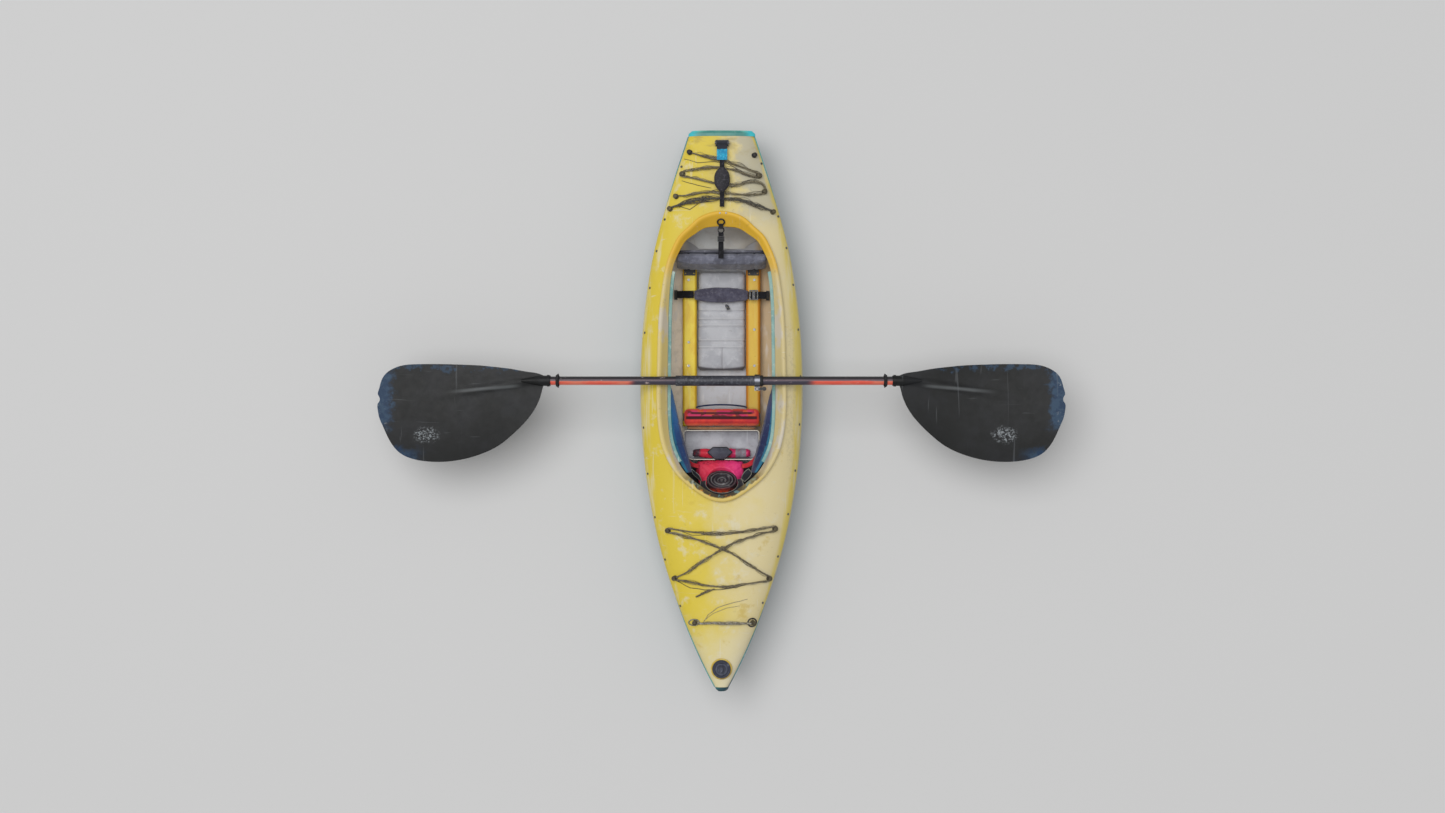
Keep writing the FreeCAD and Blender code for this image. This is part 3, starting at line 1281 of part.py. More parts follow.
shaft("shaft_left", -D("shaft_end"), -4, D("shaft_radius"), D("shaft_bore"))
shaft("shaft_right", 4, D("shaft_end"), D("shaft_radius"), D("shaft_bore"))
# bonded sleeve that fills the step between the left shaft and the centre tube, and the turning bush on the right
shim = pd_body("tube_sleeve")
k = sketch(shim, "YZ_Plane", "sleeve_section")
circle(k, 0, 0, D("tube_inner") - 0.05)
circle(k, 0, 0, D("shaft_radius") + 0.05)
pad(shim, k, 150)
shim.Placement = Placement(V(D("tube_left") + 2, PY, PZ), Rotation())
bush = pd_body("ferrule_bush")
k = sketch(bush, "XZ_Plane", "bush_section")
poly(k, [(0, D("shaft_radius") + 0.25), (70, D("shaft_radius") + 0.25), (70, D("tube_outer") - 0.5), (66.5, D("tube_outer") + 1.2), (60.6, D("tube_outer") + 1.2), (60.6, D("tube_inner") - 0.3), (0, D("tube_inner") - 0.3)])
rv = bush.newObject("PartDesign::Revolution", "Revolution")
rv.Profile = k
rv.ReferenceAxis = (k, ["H_Axis"])
rv.Angle = 360
bush.Placement = Placement(V(D("tube_right") - 60, PY, PZ), Rotation())
doc.recompute()
# split clamp round the tube with two lugs on the -Y side, a pin and a cam lever
cl = Part.makeCylinder(D("tube_outer") + 4.2, 20, V(0, 0, 0), V(1, 0, 0))
cl = cl.fuse(Part.makeBox(20, 18, 5, V(0, -37.5, 1.2))).fuse(Part.makeBox(20, 18, 5, V(0, -37.5, -6.2)))
cl = cl.cut(Part.makeCylinder(D("tube_outer") + 0.15, 40, V(-10, 0, 0), V(1, 0, 0)))
cl = cl.cut(Part.makeBox(30, 20, 2.4, V(-5, -40, -1.2)))
cl = cl.cut(Part.makeCylinder(2.7, 30, V(10, -30.5, -15), V(0, 0, 1)))
cl.translate(V(124, PY, PZ))
feat("ferrule_clamp", solid(cl.removeSplitter()))
bolt = Part.makeCylinder(2.5, 14.6, V(134, PY - 30.5, PZ - 7.1)).fuse(Part.makeCylinder(4.6, 2.4, V(134, PY - 30.5, PZ - 8.9)))
lv = Part.makeCylinder(7.0, 4.6, V(134, PY - 30.5, PZ + 6.6))
lv = lv.fuse(Part.makeBox(26, 9, 4.6, V(134, PY - 35, PZ + 6.6))).fuse(Part.makeCylinder(7.6, 9.5, V(161, PY - 30.5, PZ + 3.2)))
lv = lv.cut(Part.makeCylinder(2.7, 30, V(134, PY - 30.5, PZ)))
feat("ferrule_lever", solid(lv.removeSplitter()))
bolt = bolt.fuse(Part.makeCylinder(2.5, 6.0, V(134, PY - 30.5, PZ + 7.0))).fuse(Part.makeCylinder(4.8, 2.2, V(134, PY - 30.5, PZ + 11.4)))
feat("ferrule_bolt", solid(bolt.removeSplitter()))

BLADE = [(-664, 17), (-696, 29), (-730, 34), (-786, 44), (-846, 51.5), (-906, 57.5), (-966, 60.5), (-1056, 63), (-1146, 62.5), (-1206, 56.5), (-1236, 45),
         (-1258, 30), (-1272, 12), (-1280, -8), (-1286, -32), (-1289.3, -52), (-1284, -62), (-1283.5, -76), (-1289.6, -86), (-1290, -108),
         (-1285, -136), (-1273, -166), (-1262, -192), (-1240, -236), (-1206, -274), (-1162, -294), (-1106, -304), (-1030, -304), (-966, -294), (-906, -276),
         (-846, -248), (-786, -202), (-730, -146), (-700, -104), (-678, -52), (-668, -17)]


def blade(sign):
    out = [V(sign * -x, y, -80) for x, y in BLADE]
    wire = Part.Wire([periodic(out)])
    prism = Part.Face(wire).extrude(V(0, 0, 160))
    up, dn = [], []
    for i in range(25):
        x = 640 + (1300 - 640) * i / 24.0
        f = (x - 664) / 626.0
        ru, rd = [], []
        for j in range(31):
            y = -318 + (76 + 318) * j / 30.0
            sp = -58 * smooth(f / 0.75)
            ym = -120 * smooth(f / 0.6)
            zm = -13 * math.sin(math.pi * max(0.0, min(1.0, f))) ** 1.0 + 6 * f - 0.00042 * (y - ym) ** 2 * smooth(f / 0.35)
            th = D("blade_thick") * (0.62 + 0.38 * math.exp(-((y - ym) / 110.0) ** 2))
            rib = 5.2 * math.exp(-((y - sp) / 13.0) ** 2) * (1 - smooth((f - 0.25) / 0.6))
            edge = 1.6 * math.exp(-((y - sp * 0.2 - 30) / 22.0) ** 2) * smooth(f / 0.3)
            ru.append(V(sign * x, y, zm + th / 2 + rib + edge))
            rd.append(V(sign * x, y, zm - th / 2 - rib * 0.5))
        up.append(ru)
        dn.append(rd)
    slab = skin_solid(up, dn)
    b = solid(slab.common(prism))
    sock = Part.makeCylinder(19.6, 40, V(0, 0, 0), V(1, 0, 0)).fuse(Part.makeCone(19.6, 6.0, 70, V(40, 0, 0), V(1, 0, 0)))
    sock = sock.fuse(Part.makeCylinder(22.0, 9, V(4, 0, 0), V(1, 0, 0)))
    sock.Placement = Placement(V(sign * (D("shaft_end") - 22), 0, 0), Rotation(V(0, 0, 1), 0 if sign > 0 else 180))
    b = b.fuse(sock)
    b = b.cut(Part.makeCylinder(D("shaft_radius") + 0.05, 24.05, V(sign * (D("shaft_end") - 24), 0, 0), V(sign, 0, 0)))
    b = solid(b.removeSplitter())
    b.translate(V(0, PY, PZ))
    return b


feat("blade_left", blade(-1))
feat("blade_right", blade(1))


def drip(sign):
    prof = [(16.25, 0), (20.5, 0), (27, 9), (26, 10.4), (19.6, 3.4), (19.6, 13), (16.25, 13)]
    f = Part.Face(Part.makePolygon([V(b, a, 0) for a, b in prof] + [V(prof[0][1], prof[0][0], 0)]))
    r = f.revolve(V(0, 0, 0), V(1, 0, 0), 360)
    r.Placement = Placement(V(sign * 622, PY, PZ), Rotation(V(0, 0, 1), 180 if sign > 0 else 0))
    return solid(r)


feat("drip_ring_left", drip(-1))
feat("drip_ring_right", drip(1))

# ------------------------------------------------------------------ write the parts
doc.recompute()
bad = [o.Name for o in doc.Objects if ("Invalid" in o.State or "Error" in o.State)]
if bad:
    raise RuntimeError("objects failed: %s" % bad)
seen = set()
for o in PARTS:
    s = o.Shape
    if o.Label in seen:
        raise RuntimeError("label twice: " + o.Label)
    seen.add(o.Label)
    if s.isNull() or not s.isValid() or not s.Solids:
        raise RuntimeError("bad shape: " + o.Label)
for o in PARTS:
    o.Shape.exportStep("parts/%s.step" % o.Label)
for line in CORD_REPORT:
    print(line)
print(len(PARTS), "parts written")
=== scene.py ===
import bpy, bmesh, math, random
from mathutils import Vector, Matrix, noise


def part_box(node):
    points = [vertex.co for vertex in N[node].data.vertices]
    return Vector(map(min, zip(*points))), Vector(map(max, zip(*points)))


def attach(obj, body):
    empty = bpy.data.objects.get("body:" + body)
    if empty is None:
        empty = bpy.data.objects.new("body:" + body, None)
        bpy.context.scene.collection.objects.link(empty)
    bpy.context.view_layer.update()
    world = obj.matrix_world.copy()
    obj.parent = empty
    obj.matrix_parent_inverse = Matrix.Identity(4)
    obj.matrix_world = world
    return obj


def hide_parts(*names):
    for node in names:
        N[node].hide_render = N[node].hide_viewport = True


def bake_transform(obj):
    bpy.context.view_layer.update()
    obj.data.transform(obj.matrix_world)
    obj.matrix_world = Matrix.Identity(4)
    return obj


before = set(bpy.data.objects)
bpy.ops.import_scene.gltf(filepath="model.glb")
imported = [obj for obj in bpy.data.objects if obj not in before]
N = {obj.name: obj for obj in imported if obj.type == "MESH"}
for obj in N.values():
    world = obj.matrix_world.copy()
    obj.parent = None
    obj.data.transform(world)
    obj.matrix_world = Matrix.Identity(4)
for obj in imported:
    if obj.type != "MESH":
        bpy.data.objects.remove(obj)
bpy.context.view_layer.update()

rnd = random.Random(7)

# ---------------------------------------------------------------- camera, stage, light
scene = bpy.context.scene
scene.view_settings.view_transform = "Standard"
scene.view_settings.look = "None"
cam_data = bpy.data.cameras.new("cam")
cam_data.lens = 50
cam_data.sensor_width = 36
cam_data.clip_end = 60
cam = bpy.data.objects.new("cam", cam_data)
cam.location = (0.0038, 0.0152, 7.83)
cam.rotation_euler = (0, 0, 0)
scene.collection.objects.link(cam)
scene.camera = cam


def link(o):
    scene.collection.objects.link(o)
    return o


def mesh_obj(name, verts, faces, smooth=True):
    me = bpy.data.meshes.new(name)
    me.from_pydata([tuple(v) for v in verts], [], faces)
    me.validate()
    me.update()
    for p in me.polygons:
        p.use_smooth = smooth
    return link(bpy.data.objects.new(name, me))


# ---------------------------------------------------------------- cords
ROUTES = {
    "bow_bungee": [(-0.171, -0.6301, 0.251), (-0.146, -0.619, 0.2638), (-0.11, -0.596, 0.2748), (-0.062, -0.561, 0.2801), (-0.03, -0.5405, 0.2887), (-0.008, -0.525, 0.2908), (0.016, -0.511, 0.2911), (0.048, -0.497, 0.288), (0.086, -0.4845, 0.2812), (0.132, -0.47, 0.2761), (0.172, -0.459, 0.2661), (0.2077, -0.4542, 0.2519), (0.2115, -0.4476, 0.2506), (0.2096, -0.4402, 0.2521), (0.2033, -0.4371, 0.2553), (0.16, -0.4445, 0.2704), (0.112, -0.451, 0.2793), (0.06, -0.457, 0.282), (0.004, -0.4615, 0.2824), (-0.058, -0.462, 0.282), (-0.116, -0.457, 0.2788), (-0.166, -0.4495, 0.2687), (-0.2065, -0.4441, 0.2532), (-0.212, -0.452, 0.2499), (-0.2082, -0.4615, 0.251), (-0.168, -0.465, 0.2671), (-0.128, -0.476, 0.2767), (-0.08, -0.489, 0.2809), (-0.032, -0.506, 0.2817), (0.02, -0.527, 0.2814), (0.07, -0.557, 0.2799), (0.118, -0.589, 0.2738), (0.154, -0.6135, 0.2609), (0.1871, -0.6283, 0.2397), (0.1887, -0.6356, 0.237), (0.1851, -0.6425, 0.2383), (0.143, -0.646, 0.2617), (0.098, -0.6525, 0.2739), (0.046, -0.661, 0.2779), (-0.01, -0.6645, 0.2782), (-0.062, -0.657, 0.2774), (-0.108, -0.6475, 0.2724), (-0.14, -0.6405, 0.2634), (-0.1713, -0.6403, 0.2489)],
    "bow_bungee_tail": [(-0.026, -0.6725, 0.2755), (-0.044, -0.677, 0.2742), (-0.062, -0.684, 0.2727), (-0.08, -0.694, 0.2705), (-0.097, -0.7015, 0.2674)],
    "bow_rope": [(-0.0918, -0.8024, 0.2639), (-0.07, -0.8035, 0.27), (-0.032, -0.8, 0.2748), (0.006, -0.803, 0.2751), (0.046, -0.7995, 0.2741), (0.082, -0.803, 0.2675), (0.1121, -0.8035, 0.2557)],
    "stern_bungee": [(-0.1126, 0.9757, 0.2312), (-0.088, 0.967, 0.2376), (-0.044, 0.958, 0.242), (0.002, 0.948, 0.243), (0.05, 0.931, 0.2434), (0.092, 0.9155, 0.2408), (0.122, 0.9045, 0.2352), (0.1483, 0.8958, 0.2278), (0.15, 0.8862, 0.2282), (0.1432, 0.88, 0.2308), (0.11, 0.889, 0.2388), (0.068, 0.902, 0.2435), (0.022, 0.9155, 0.2444), (-0.03, 0.921, 0.2441), (-0.08, 0.916, 0.242), (-0.118, 0.908, 0.2361), (-0.1538, 0.9045, 0.2244), (-0.1577, 0.896, 0.2239), (-0.1532, 0.8882, 0.2265), (-0.112, 0.88, 0.2391), (-0.07, 0.869, 0.2443), (-0.022, 0.857, 0.2457), (0.026, 0.8505, 0.2458), (0.072, 0.8545, 0.2445), (0.112, 0.866, 0.2405), (0.143, 0.865, 0.2337), (0.164, 0.85, 0.2271), (0.172, 0.828, 0.226), (0.1685, 0.8219, 0.2278), (0.132, 0.8175, 0.2385), (0.088, 0.815, 0.2446), (0.04, 0.819, 0.2463), (-0.014, 0.8265, 0.2463), (-0.066, 0.826, 0.2455), (-0.114, 0.8165, 0.242), (-0.146, 0.812, 0.2357), (-0.1648, 0.8136, 0.2303)],
    "stern_arc_cord": [(-0.1881, 0.7702, 0.2276), (-0.146, 0.783, 0.2396), (-0.098, 0.796, 0.2458), (-0.042, 0.8015, 0.248), (0.014, 0.8, 0.2482), (0.068, 0.7965, 0.2475), (0.12, 0.783, 0.2442), (0.158, 0.768, 0.2378), (0.1876, 0.7576, 0.2294)],
}
CORD = {  # diameter, length, far end, lay
    "bow_bungee": (0.0056, 1.70, "object", "taut"),
    "bow_bungee_tail": (0.0050, 0.077, "bare", "loose"),
    "bow_rope": (0.0070, 0.208, "object", "loose"),
    "stern_bungee": (0.0056, 1.30, "object", "taut"),
    "stern_arc_cord": (0.0076, 0.389, "object", "taut"),
}


def cord_curve(name, pts, d, order=3):
    cu = bpy.data.curves.new(name, "CURVE")
    cu.dimensions = "3D"
    sp = cu.splines.new("NURBS")
    sp.points.add(len(pts) - 1)
    for i, p in enumerate(pts):
        sp.points[i].co = (p[0], p[1], p[2], 1)
    sp.order_u = order
    sp.use_endpoint_u = True
    cu.resolution_u = 10
    cu.bevel_mode = "ROUND"
    cu.bevel_depth = d / 2
    cu.bevel_resolution = 4
    cu.use_fill_caps = True
    return link(bpy.data.objects.new(name, cu))


cords = {}
for key, pts in ROUTES.items():
    cords[key] = cord_curve(key + "_line", pts, CORD[key][0])


def centre_line(o):
    """Points along a cord, read back from its own curve."""
    cu = o.data.copy()
    cu.bevel_depth = 0
    cu.use_fill_caps = False
    tmp = bpy.data.objects.new("tmp", cu)
    me = bpy.data.meshes.new_from_object(tmp)
    out = [v.co.copy() for v in me.vertices]
    bpy.data.objects.remove(tmp)
    bpy.data.meshes.remove(me)
    bpy.data.curves.remove(cu)
    return out


def sweep(name, pts, r, sides=8, closed=False, radius=None):
    """A plain tube mesh along points."""
    n = len(pts)
    verts, faces = [], []
    prev = None
    for i, p in enumerate(pts):
        a = pts[(i - 1) % n] if (closed or i > 0) else p
        b = pts[(i + 1) % n] if (closed or i < n - 1) else p
        t = (Vector(b) - Vector(a)).normalized()
        if prev is None:
            u = t.orthogonal().normalized()
        else:
            u = (prev - t * prev.dot(t)).normalized()
        prev = u
        w = t.cross(u)
        rr = radius(i / max(1, n - 1)) if radius else r
        for k in range(sides):
            an = 2 * math.pi * k / sides
            verts.append(Vector(p) + (u * math.cos(an) + w * math.sin(an)) * rr)
    m = n if closed else n - 1
    for i in range(m):
        for k in range(sides):
            a, b = i * sides + k, i * sides + (k + 1) % sides
            c, d = ((i + 1) % n) * sides + (k + 1) % sides, ((i + 1) % n) * sides + k
            faces.append((a, b, c, d))
    if not closed:
        faces.append(tuple(reversed(range(sides))))
        faces.append(tuple(range((n - 1) * sides, n * sides)))
    return mesh_obj(name, verts, faces)


# ---------------------------------------------------------------- material helpers
def lin(c):
    c = c / 255.0
    return c / 12.92 if c <= 0.04045 else ((c + 0.055) / 1.055) ** 2.4


def rgb(r, g, b):
    return (lin(r), lin(g), lin(b), 1.0)


class Mat:
    def __init__(self, name, rough=0.5, metal=0.0, spec=0.5, coat=0.0, sheen=0.0):
        self.m = bpy.data.materials.new(name)
        self.m.use_nodes = True
        self.t = self.m.node_tree
        self.t.nodes.clear()
        out = self.t.nodes.new("ShaderNodeOutputMaterial")
        self.b = self.t.nodes.new("ShaderNodeBsdfPrincipled")
        self.t.links.new(self.b.outputs[0], out.inputs[0])
        self.b.inputs["Metallic"].default_value = metal
        self.b.inputs["Roughness"].default_value = rough
        self.b.inputs["Specular IOR Level"].default_value = spec
        if coat:
            self.b.inputs["Coat Weight"].default_value = coat
        if sheen:
            self.b.inputs["Sheen Weight"].default_value = sheen
        self.tc = self.t.nodes.new("ShaderNodeTexCoord")
        self.co = self.tc.outputs["Object"]
        self._xyz = None

    def put(self, socket, v):
        if isinstance(v, bpy.types.NodeSocket):
            self.t.links.new(v, socket)
        elif v is not None:
            socket.default_value = v

    def axis(self, k):
        if self._xyz is None:
            s = self.t.nodes.new("ShaderNodeSeparateXYZ")
            self.t.links.new(self.co, s.inputs[0])
            self._xyz = s
        return self._xyz.outputs[k]

    def noise(self, scale, detail=3.0, rough=0.55, stretch=None, dist=0.0, shift=(0, 0, 0)):
        n = self.t.nodes.new("ShaderNodeTexNoise")
        n.inputs["Scale"].default_value = scale
        n.inputs["Detail"].default_value = detail
        n.inputs["Roughness"].default_value = rough
        n.inputs["Distortion"].default_value = dist
        mp = self.t.nodes.new("ShaderNodeMapping")
        mp.inputs["Scale"].default_value = stretch or (1, 1, 1)
        mp.inputs["Location"].default_value = shift
        self.t.links.new(self.co, mp.inputs[0])
        self.t.links.new(mp.outputs[0], n.inputs["Vector"])
        return n.outputs["Fac"]

    def voronoi(self, scale, feature="F1", stretch=None):
        n = self.t.nodes.new("ShaderNodeTexVoronoi")
        n.feature = feature
        n.inputs["Scale"].default_value = scale
        mp = self.t.nodes.new("ShaderNodeMapping")
        mp.inputs["Scale"].default_value = stretch or (1, 1, 1)
        self.t.links.new(self.co, mp.inputs[0])
        self.t.links.new(mp.outputs[0], n.inputs["Vector"])
        return n.outputs["Distance"]

    def wave(self, scale, direction="X", dist=0.0, stretch=None, uv=False):
        n = self.t.nodes.new("ShaderNodeTexWave")
        n.wave_type = "BANDS"
        n.bands_direction = direction
        n.inputs["Scale"].default_value = scale
        n.inputs["Distortion"].default_value = dist
        src = self.tc.outputs["UV"] if uv else self.co
        if stretch:
            mp = self.t.nodes.new("ShaderNodeMapping")
            mp.inputs["Scale"].default_value = stretch
            self.t.links.new(src, mp.inputs[0])
            src = mp.outputs[0]
        self.t.links.new(src, n.inputs["Vector"])
        return n.outputs["Fac"]

    def math(self, op, a, b=None, clamp=False):
        n = self.t.nodes.new("ShaderNodeMath")
        n.operation = op
        n.use_clamp = clamp
        self.put(n.inputs[0], a)
        self.put(n.inputs[1], b)
        return n.outputs[0]

    def band(self, v, a, b):
        """0 below a, 1 above b, smooth between; a above b gives the falling one."""
        n = self.t.nodes.new("ShaderNodeMapRange")
        n.interpolation_type = "SMOOTHSTEP"
        n.inputs["From Min"].default_value = min(a, b)
        n.inputs["From Max"].default_value = max(a, b)
        n.inputs["To Min"].default_value = 0.0 if a < b else 1.0
        n.inputs["To Max"].default_value = 1.0 if a < b else 0.0
        self.put(n.inputs["Value"], v)
        return n.outputs[0]

    def mix(self, f, a, b):
        n = self.t.nodes.new("ShaderNodeMix")
        n.data_type = "RGBA"
        self.put(n.inputs[0], f)
        self.put(n.inputs[6], a)
        self.put(n.inputs[7], b)
        return n.outputs[2]

    def mul(self, a, b):
        return self.math("MULTIPLY", a, b, clamp=True)

    def spot(self, x, y, rx, ry, soft=0.6, wob=0.0, scale=30):
        """A soft round patch on the plan view, 1 inside."""
        dx = self.math("DIVIDE", self.math("SUBTRACT", self.axis(0), x), rx)
        dy = self.math("DIVIDE", self.math("SUBTRACT", self.axis(1), y), ry)
        d = self.math("SQRT", self.math("ADD", self.math("MULTIPLY", dx, dx), self.math("MULTIPLY", dy, dy)))
        if wob:
            d = self.math("ADD", d, self.math("MULTIPLY", self.math("SUBTRACT", self.noise(scale, 3), 0.5), wob))
        return self.band(d, 1.0 + soft / 2, 1.0 - soft / 2)

    def curve(self, v, lo, hi, pts):
        """A table of (v, value) read smoothly; values from 0 to 1."""
        m = self.t.nodes.new("ShaderNodeMapRange")
        m.inputs["From Min"].default_value = lo
        m.inputs["From Max"].default_value = hi
        self.put(m.inputs["Value"], v)
        c = self.t.nodes.new("ShaderNodeFloatCurve")
        cm = c.mapping.curves[0]
        for p in cm.points[:2]:
            pass
        cm.points[0].location = (0, pts[0][1])
        cm.points[1].location = (1, pts[-1][1])
        for a, b in pts[1:-1]:
            cm.points.new((a - lo) / (hi - lo), b)
        c.mapping.update()
        self.t.links.new(m.outputs[0], c.inputs["Value"])
        return c.outputs[0]

    def bump(self, h, dist=0.0005, strength=0.6, after=None):
        n = self.t.nodes.new("ShaderNodeBump")
        n.inputs["Strength"].default_value = strength
        n.inputs["Distance"].default_value = dist
        self.put(n.inputs["Height"], h)
        if after is not None:
            self.t.links.new(after, n.inputs["Normal"])
        self.t.links.new(n.outputs[0], self.b.inputs["Normal"])
        return n.outputs[0]

    def colour(self, c):
        self.put(self.b.inputs["Base Color"], c)
        return self

    def rough(self, v, lo, hi):
        n = self.t.nodes.new("ShaderNodeMapRange")
        n.inputs["To Min"].default_value = lo
        n.inputs["To Max"].default_value = hi
        self.put(n.inputs["Value"], v)
        self.t.links.new(n.outputs[0], self.b.inputs["Roughness"])
        return self


def scratches(g, s=1.0, shift=(0, 0, 0)):
    """Thin scuffs in two directions, 0 to 1."""
    a = g.noise(60 * s, 2, 0.6, (1, 0.06, 0.3), 0.6, shift)
    b = g.noise(70 * s, 2, 0.6, (0.08, 1, 0.3), 0.8, shift)
    return g.math("MAXIMUM", g.band(a, 0.66, 0.74), g.band(b, 0.68, 0.76))


def moulded(name, base, dark, light, rough=(0.35, 0.6), grain=1.0, wear=0.45, bump=0.0004, spec=0.4):
    """Moulded plastic: mottled, scuffed, a little dirt."""
    g = Mat(name, spec=spec)
    n1 = g.noise(9 * grain, 4, 0.6)
    n2 = g.noise(55 * grain, 3, 0.6)
    c = g.mix(g.band(n1, 0.42, 0.66), base, dark)
    c = g.mix(g.mul(g.band(n2, 0.5, 0.75), 0.5), c, light)
    s = scratches(g, grain)
    c = g.mix(g.mul(s, wear), c, light)
    g.colour(c)
    g.rough(n2, *rough)
    g.bump(g.math("ADD", g.noise(300, 2), g.math("MULTIPLY", s, -0.6)), bump, 0.5)
    return g.m


def woven(name, base, dark, light, pitch=0.0016, rough=(0.75, 0.95), sheen=0.25, blotch=12, wear=0.4):
    """Woven cloth or webbing: over-and-under threads from two crossing waves."""
    g = Mat(name, spec=0.2, sheen=sheen)
    k = 1.0 / pitch / 20 * math.pi
    wx = g.wave(k, "X")
    wy = g.wave(k, "Y")
    wz = g.wave(k, "Z")
    w = g.math("MAXIMUM", g.math("MULTIPLY", wx, wy), g.math("MULTIPLY", wz, 0.6))
    n1 = g.noise(blotch, 4, 0.6)
    n2 = g.noise(90, 3, 0.6)
    c = g.mix(g.band(n1, 0.38, 0.64), base, dark)
    c = g.mix(g.mul(g.band(n2, 0.52, 0.78), wear), c, light)
    c = g.mix(g.mul(w, 0.35), c, dark)
    g.colour(c)
    g.rough(n2, *rough)
    g.bump(g.math("ADD", w, g.math("MULTIPLY", n2, 1.2)), 0.0005, 0.7)
    return g.m


def metal(name, base, rough=(0.18, 0.4), dirt=rgb(60, 58, 56), amount=0.5):
    g = Mat(name, metal=1.0)
    n = g.noise(140, 4, 0.65)
    s = scratches(g, 3.0)
    c = g.mix(g.mul(g.band(n, 0.5, 0.72), amount), base, dirt)
    c = g.mix(g.mul(s, 0.4), c, rgb(235, 235, 238))
    g.colour(c)
    g.rough(n, *rough)
    g.bump(g.math("ADD", n, s), 0.0002, 0.5)
    return g.m


# ---------------------------------------------------------------- outline of the deck, read from the frame
def outline(node, bins=28):
    """Half width along y, and the y range, read from a node's mesh."""
    lo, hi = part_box(node)
    w = [0.0] * (bins + 1)
    for v in N[node].data.vertices:
        k = int(round((v.co.y - lo.y) / (hi.y - lo.y) * bins))
        w[k] = max(w[k], abs(v.co.x))
    for k in range(1, bins):
        if w[k] == 0:
            w[k] = (w[k - 1] + w[k + 1]) / 2
    return [(lo.y + (hi.y - lo.y) * k / bins, w[k]) for k in range(bins + 1)]


DECK_OUT = outline("deck_shell")


def edge_ratio(g, out=DECK_OUT):
    lo, hi = out[0][0], out[-1][0]
    hw = g.curve(g.axis(1), lo, hi, [(a, b) for a, b in out])
    return g.math("DIVIDE", g.math("ABSOLUTE", g.axis(0)), g.math("MAXIMUM", hw, 0.002)), hw


YEL = rgb(210, 188, 62)
YEL_D = rgb(184, 154, 44)
CREAM = rgb(212, 198, 152)
PALE = rgb(210, 204, 180)
WHITE = rgb(216, 213, 202)


def deck_material():
    g = Mat("deck_plastic", spec=0.35)
    x, y = g.axis(0), g.axis(1)
    ratio, hw = edge_ratio(g)
    big = g.noise(4.2, 4, 0.6, shift=(3.1, 0, 0))
    mid = g.noise(16, 4, 0.62, shift=(0, 2, 1))
    fine = g.noise(70, 4, 0.65)
    # left to right: saturated yellow fading to cream, a painted light and shade across the deck
    xr = g.math("DIVIDE", x, g.math("MAXIMUM", hw, 0.05))
    side = g.math("ADD", xr, g.math("MULTIPLY", g.math("SUBTRACT", big, 0.5), 1.5))
    side = g.math("ADD", side, g.math("MULTIPLY", g.math("SUBTRACT", mid, 0.5), 0.8))
    c = g.mix(g.band(side, -0.50, 0.72), YEL, CREAM)
    # the ends are bleached
    bow = g.band(g.math("ADD", y, g.math("MULTIPLY", g.math("SUBTRACT", mid, 0.5), 0.25)), -0.74, -1.02)
    c = g.mix(g.mul(bow, 0.70), c, PALE)
    bl = g.band(mid, 0.56, 0.70)
    c = g.mix(g.mul(bl, 0.55), c, PALE)
    dk = g.band(g.noise(10, 5, 0.65, shift=(9, 4, 0)), 0.60, 0.72)
    c = g.mix(g.mul(dk, 0.5), c, YEL_D)
    # bleached grey patch on the right of the stern deck
    gs = g.mul(g.band(y, 0.66, 0.80), g.band(g.math("ADD", xr, g.math("MULTIPLY", g.math("SUBTRACT", mid, 0.5), 1.6)), 0.12, 0.5))
    c = g.mix(g.mul(gs, 0.75), c, rgb(172, 168, 150))
    # strips along both edges, streaked along their length
    streak = g.noise(26, 3, 0.6, (1, 0.10, 1))
    rim = g.band(g.math("ADD", ratio, g.math("MULTIPLY", g.math("SUBTRACT", streak, 0.5), 0.16)), 0.86, 0.93)
    c = g.mix(g.mul(rim, 0.72), c, YEL)
    rimw = g.mul(rim, g.band(streak, 0.48, 0.72))
    c = g.mix(g.mul(rimw, 0.55), c, WHITE)
    lip = g.band(ratio, 0.972, 0.99)
    c = g.mix(g.mul(lip, 0.55), c, rgb(206, 196, 150))
    # dark scuffs and grime, mostly on the stern deck and round the cords
    grime = g.band(g.noise(34, 5, 0.72, shift=(1, 7, 2)), 0.62, 0.74)
    gz = g.math("ADD", g.mul(g.band(y, 0.62, 0.80), 0.55), g.mul(g.band(y, -0.30, -0.42), 0.22))
    c = g.mix(g.mul(grime, g.math("ADD", gz, 0.06)), c, rgb(122, 112, 82))
    aft = g.mul(g.band(g.math("ADD", y, g.math("MULTIPLY", g.math("SUBTRACT", fine, 0.5), 0.05)), 0.955, 1.02), g.band(g.noise(24, 4, 0.65, (0.35, 1, 1)), 0.46, 0.62))
    c = g.mix(g.mul(aft, 0.55), c, rgb(150, 130, 72))
    s = scratches(g, 0.8)
    c = g.mix(g.mul(s, 0.32), c, WHITE)
    specks = g.band(g.voronoi(150), 0.10, 0.04)
    c = g.mix(g.mul(specks, g.mul(g.band(mid, 0.5, 0.62), 0.7)), c, rgb(92, 84, 60))
    # rubbed mark along the right side, generic wear
    rub = g.mul(g.spot(0.262, 0.045, 0.022, 0.30, 0.5, 0.8, 40), g.band(g.noise(85, 3, 0.7), 0.5, 0.6))
    c = g.mix(g.mul(rub, 0.32), c, rgb(176, 166, 132))
    g.colour(c)
    g.rough(fine, 0.36, 0.62)
    h = g.math("ADD", g.math("MULTIPLY", g.noise(22, 3), 2.0), g.math("ADD", g.noise(380, 2), g.math("MULTIPLY", s, -1.0)))
    g.bump(h, 0.0006, 0.55)
    return g.m


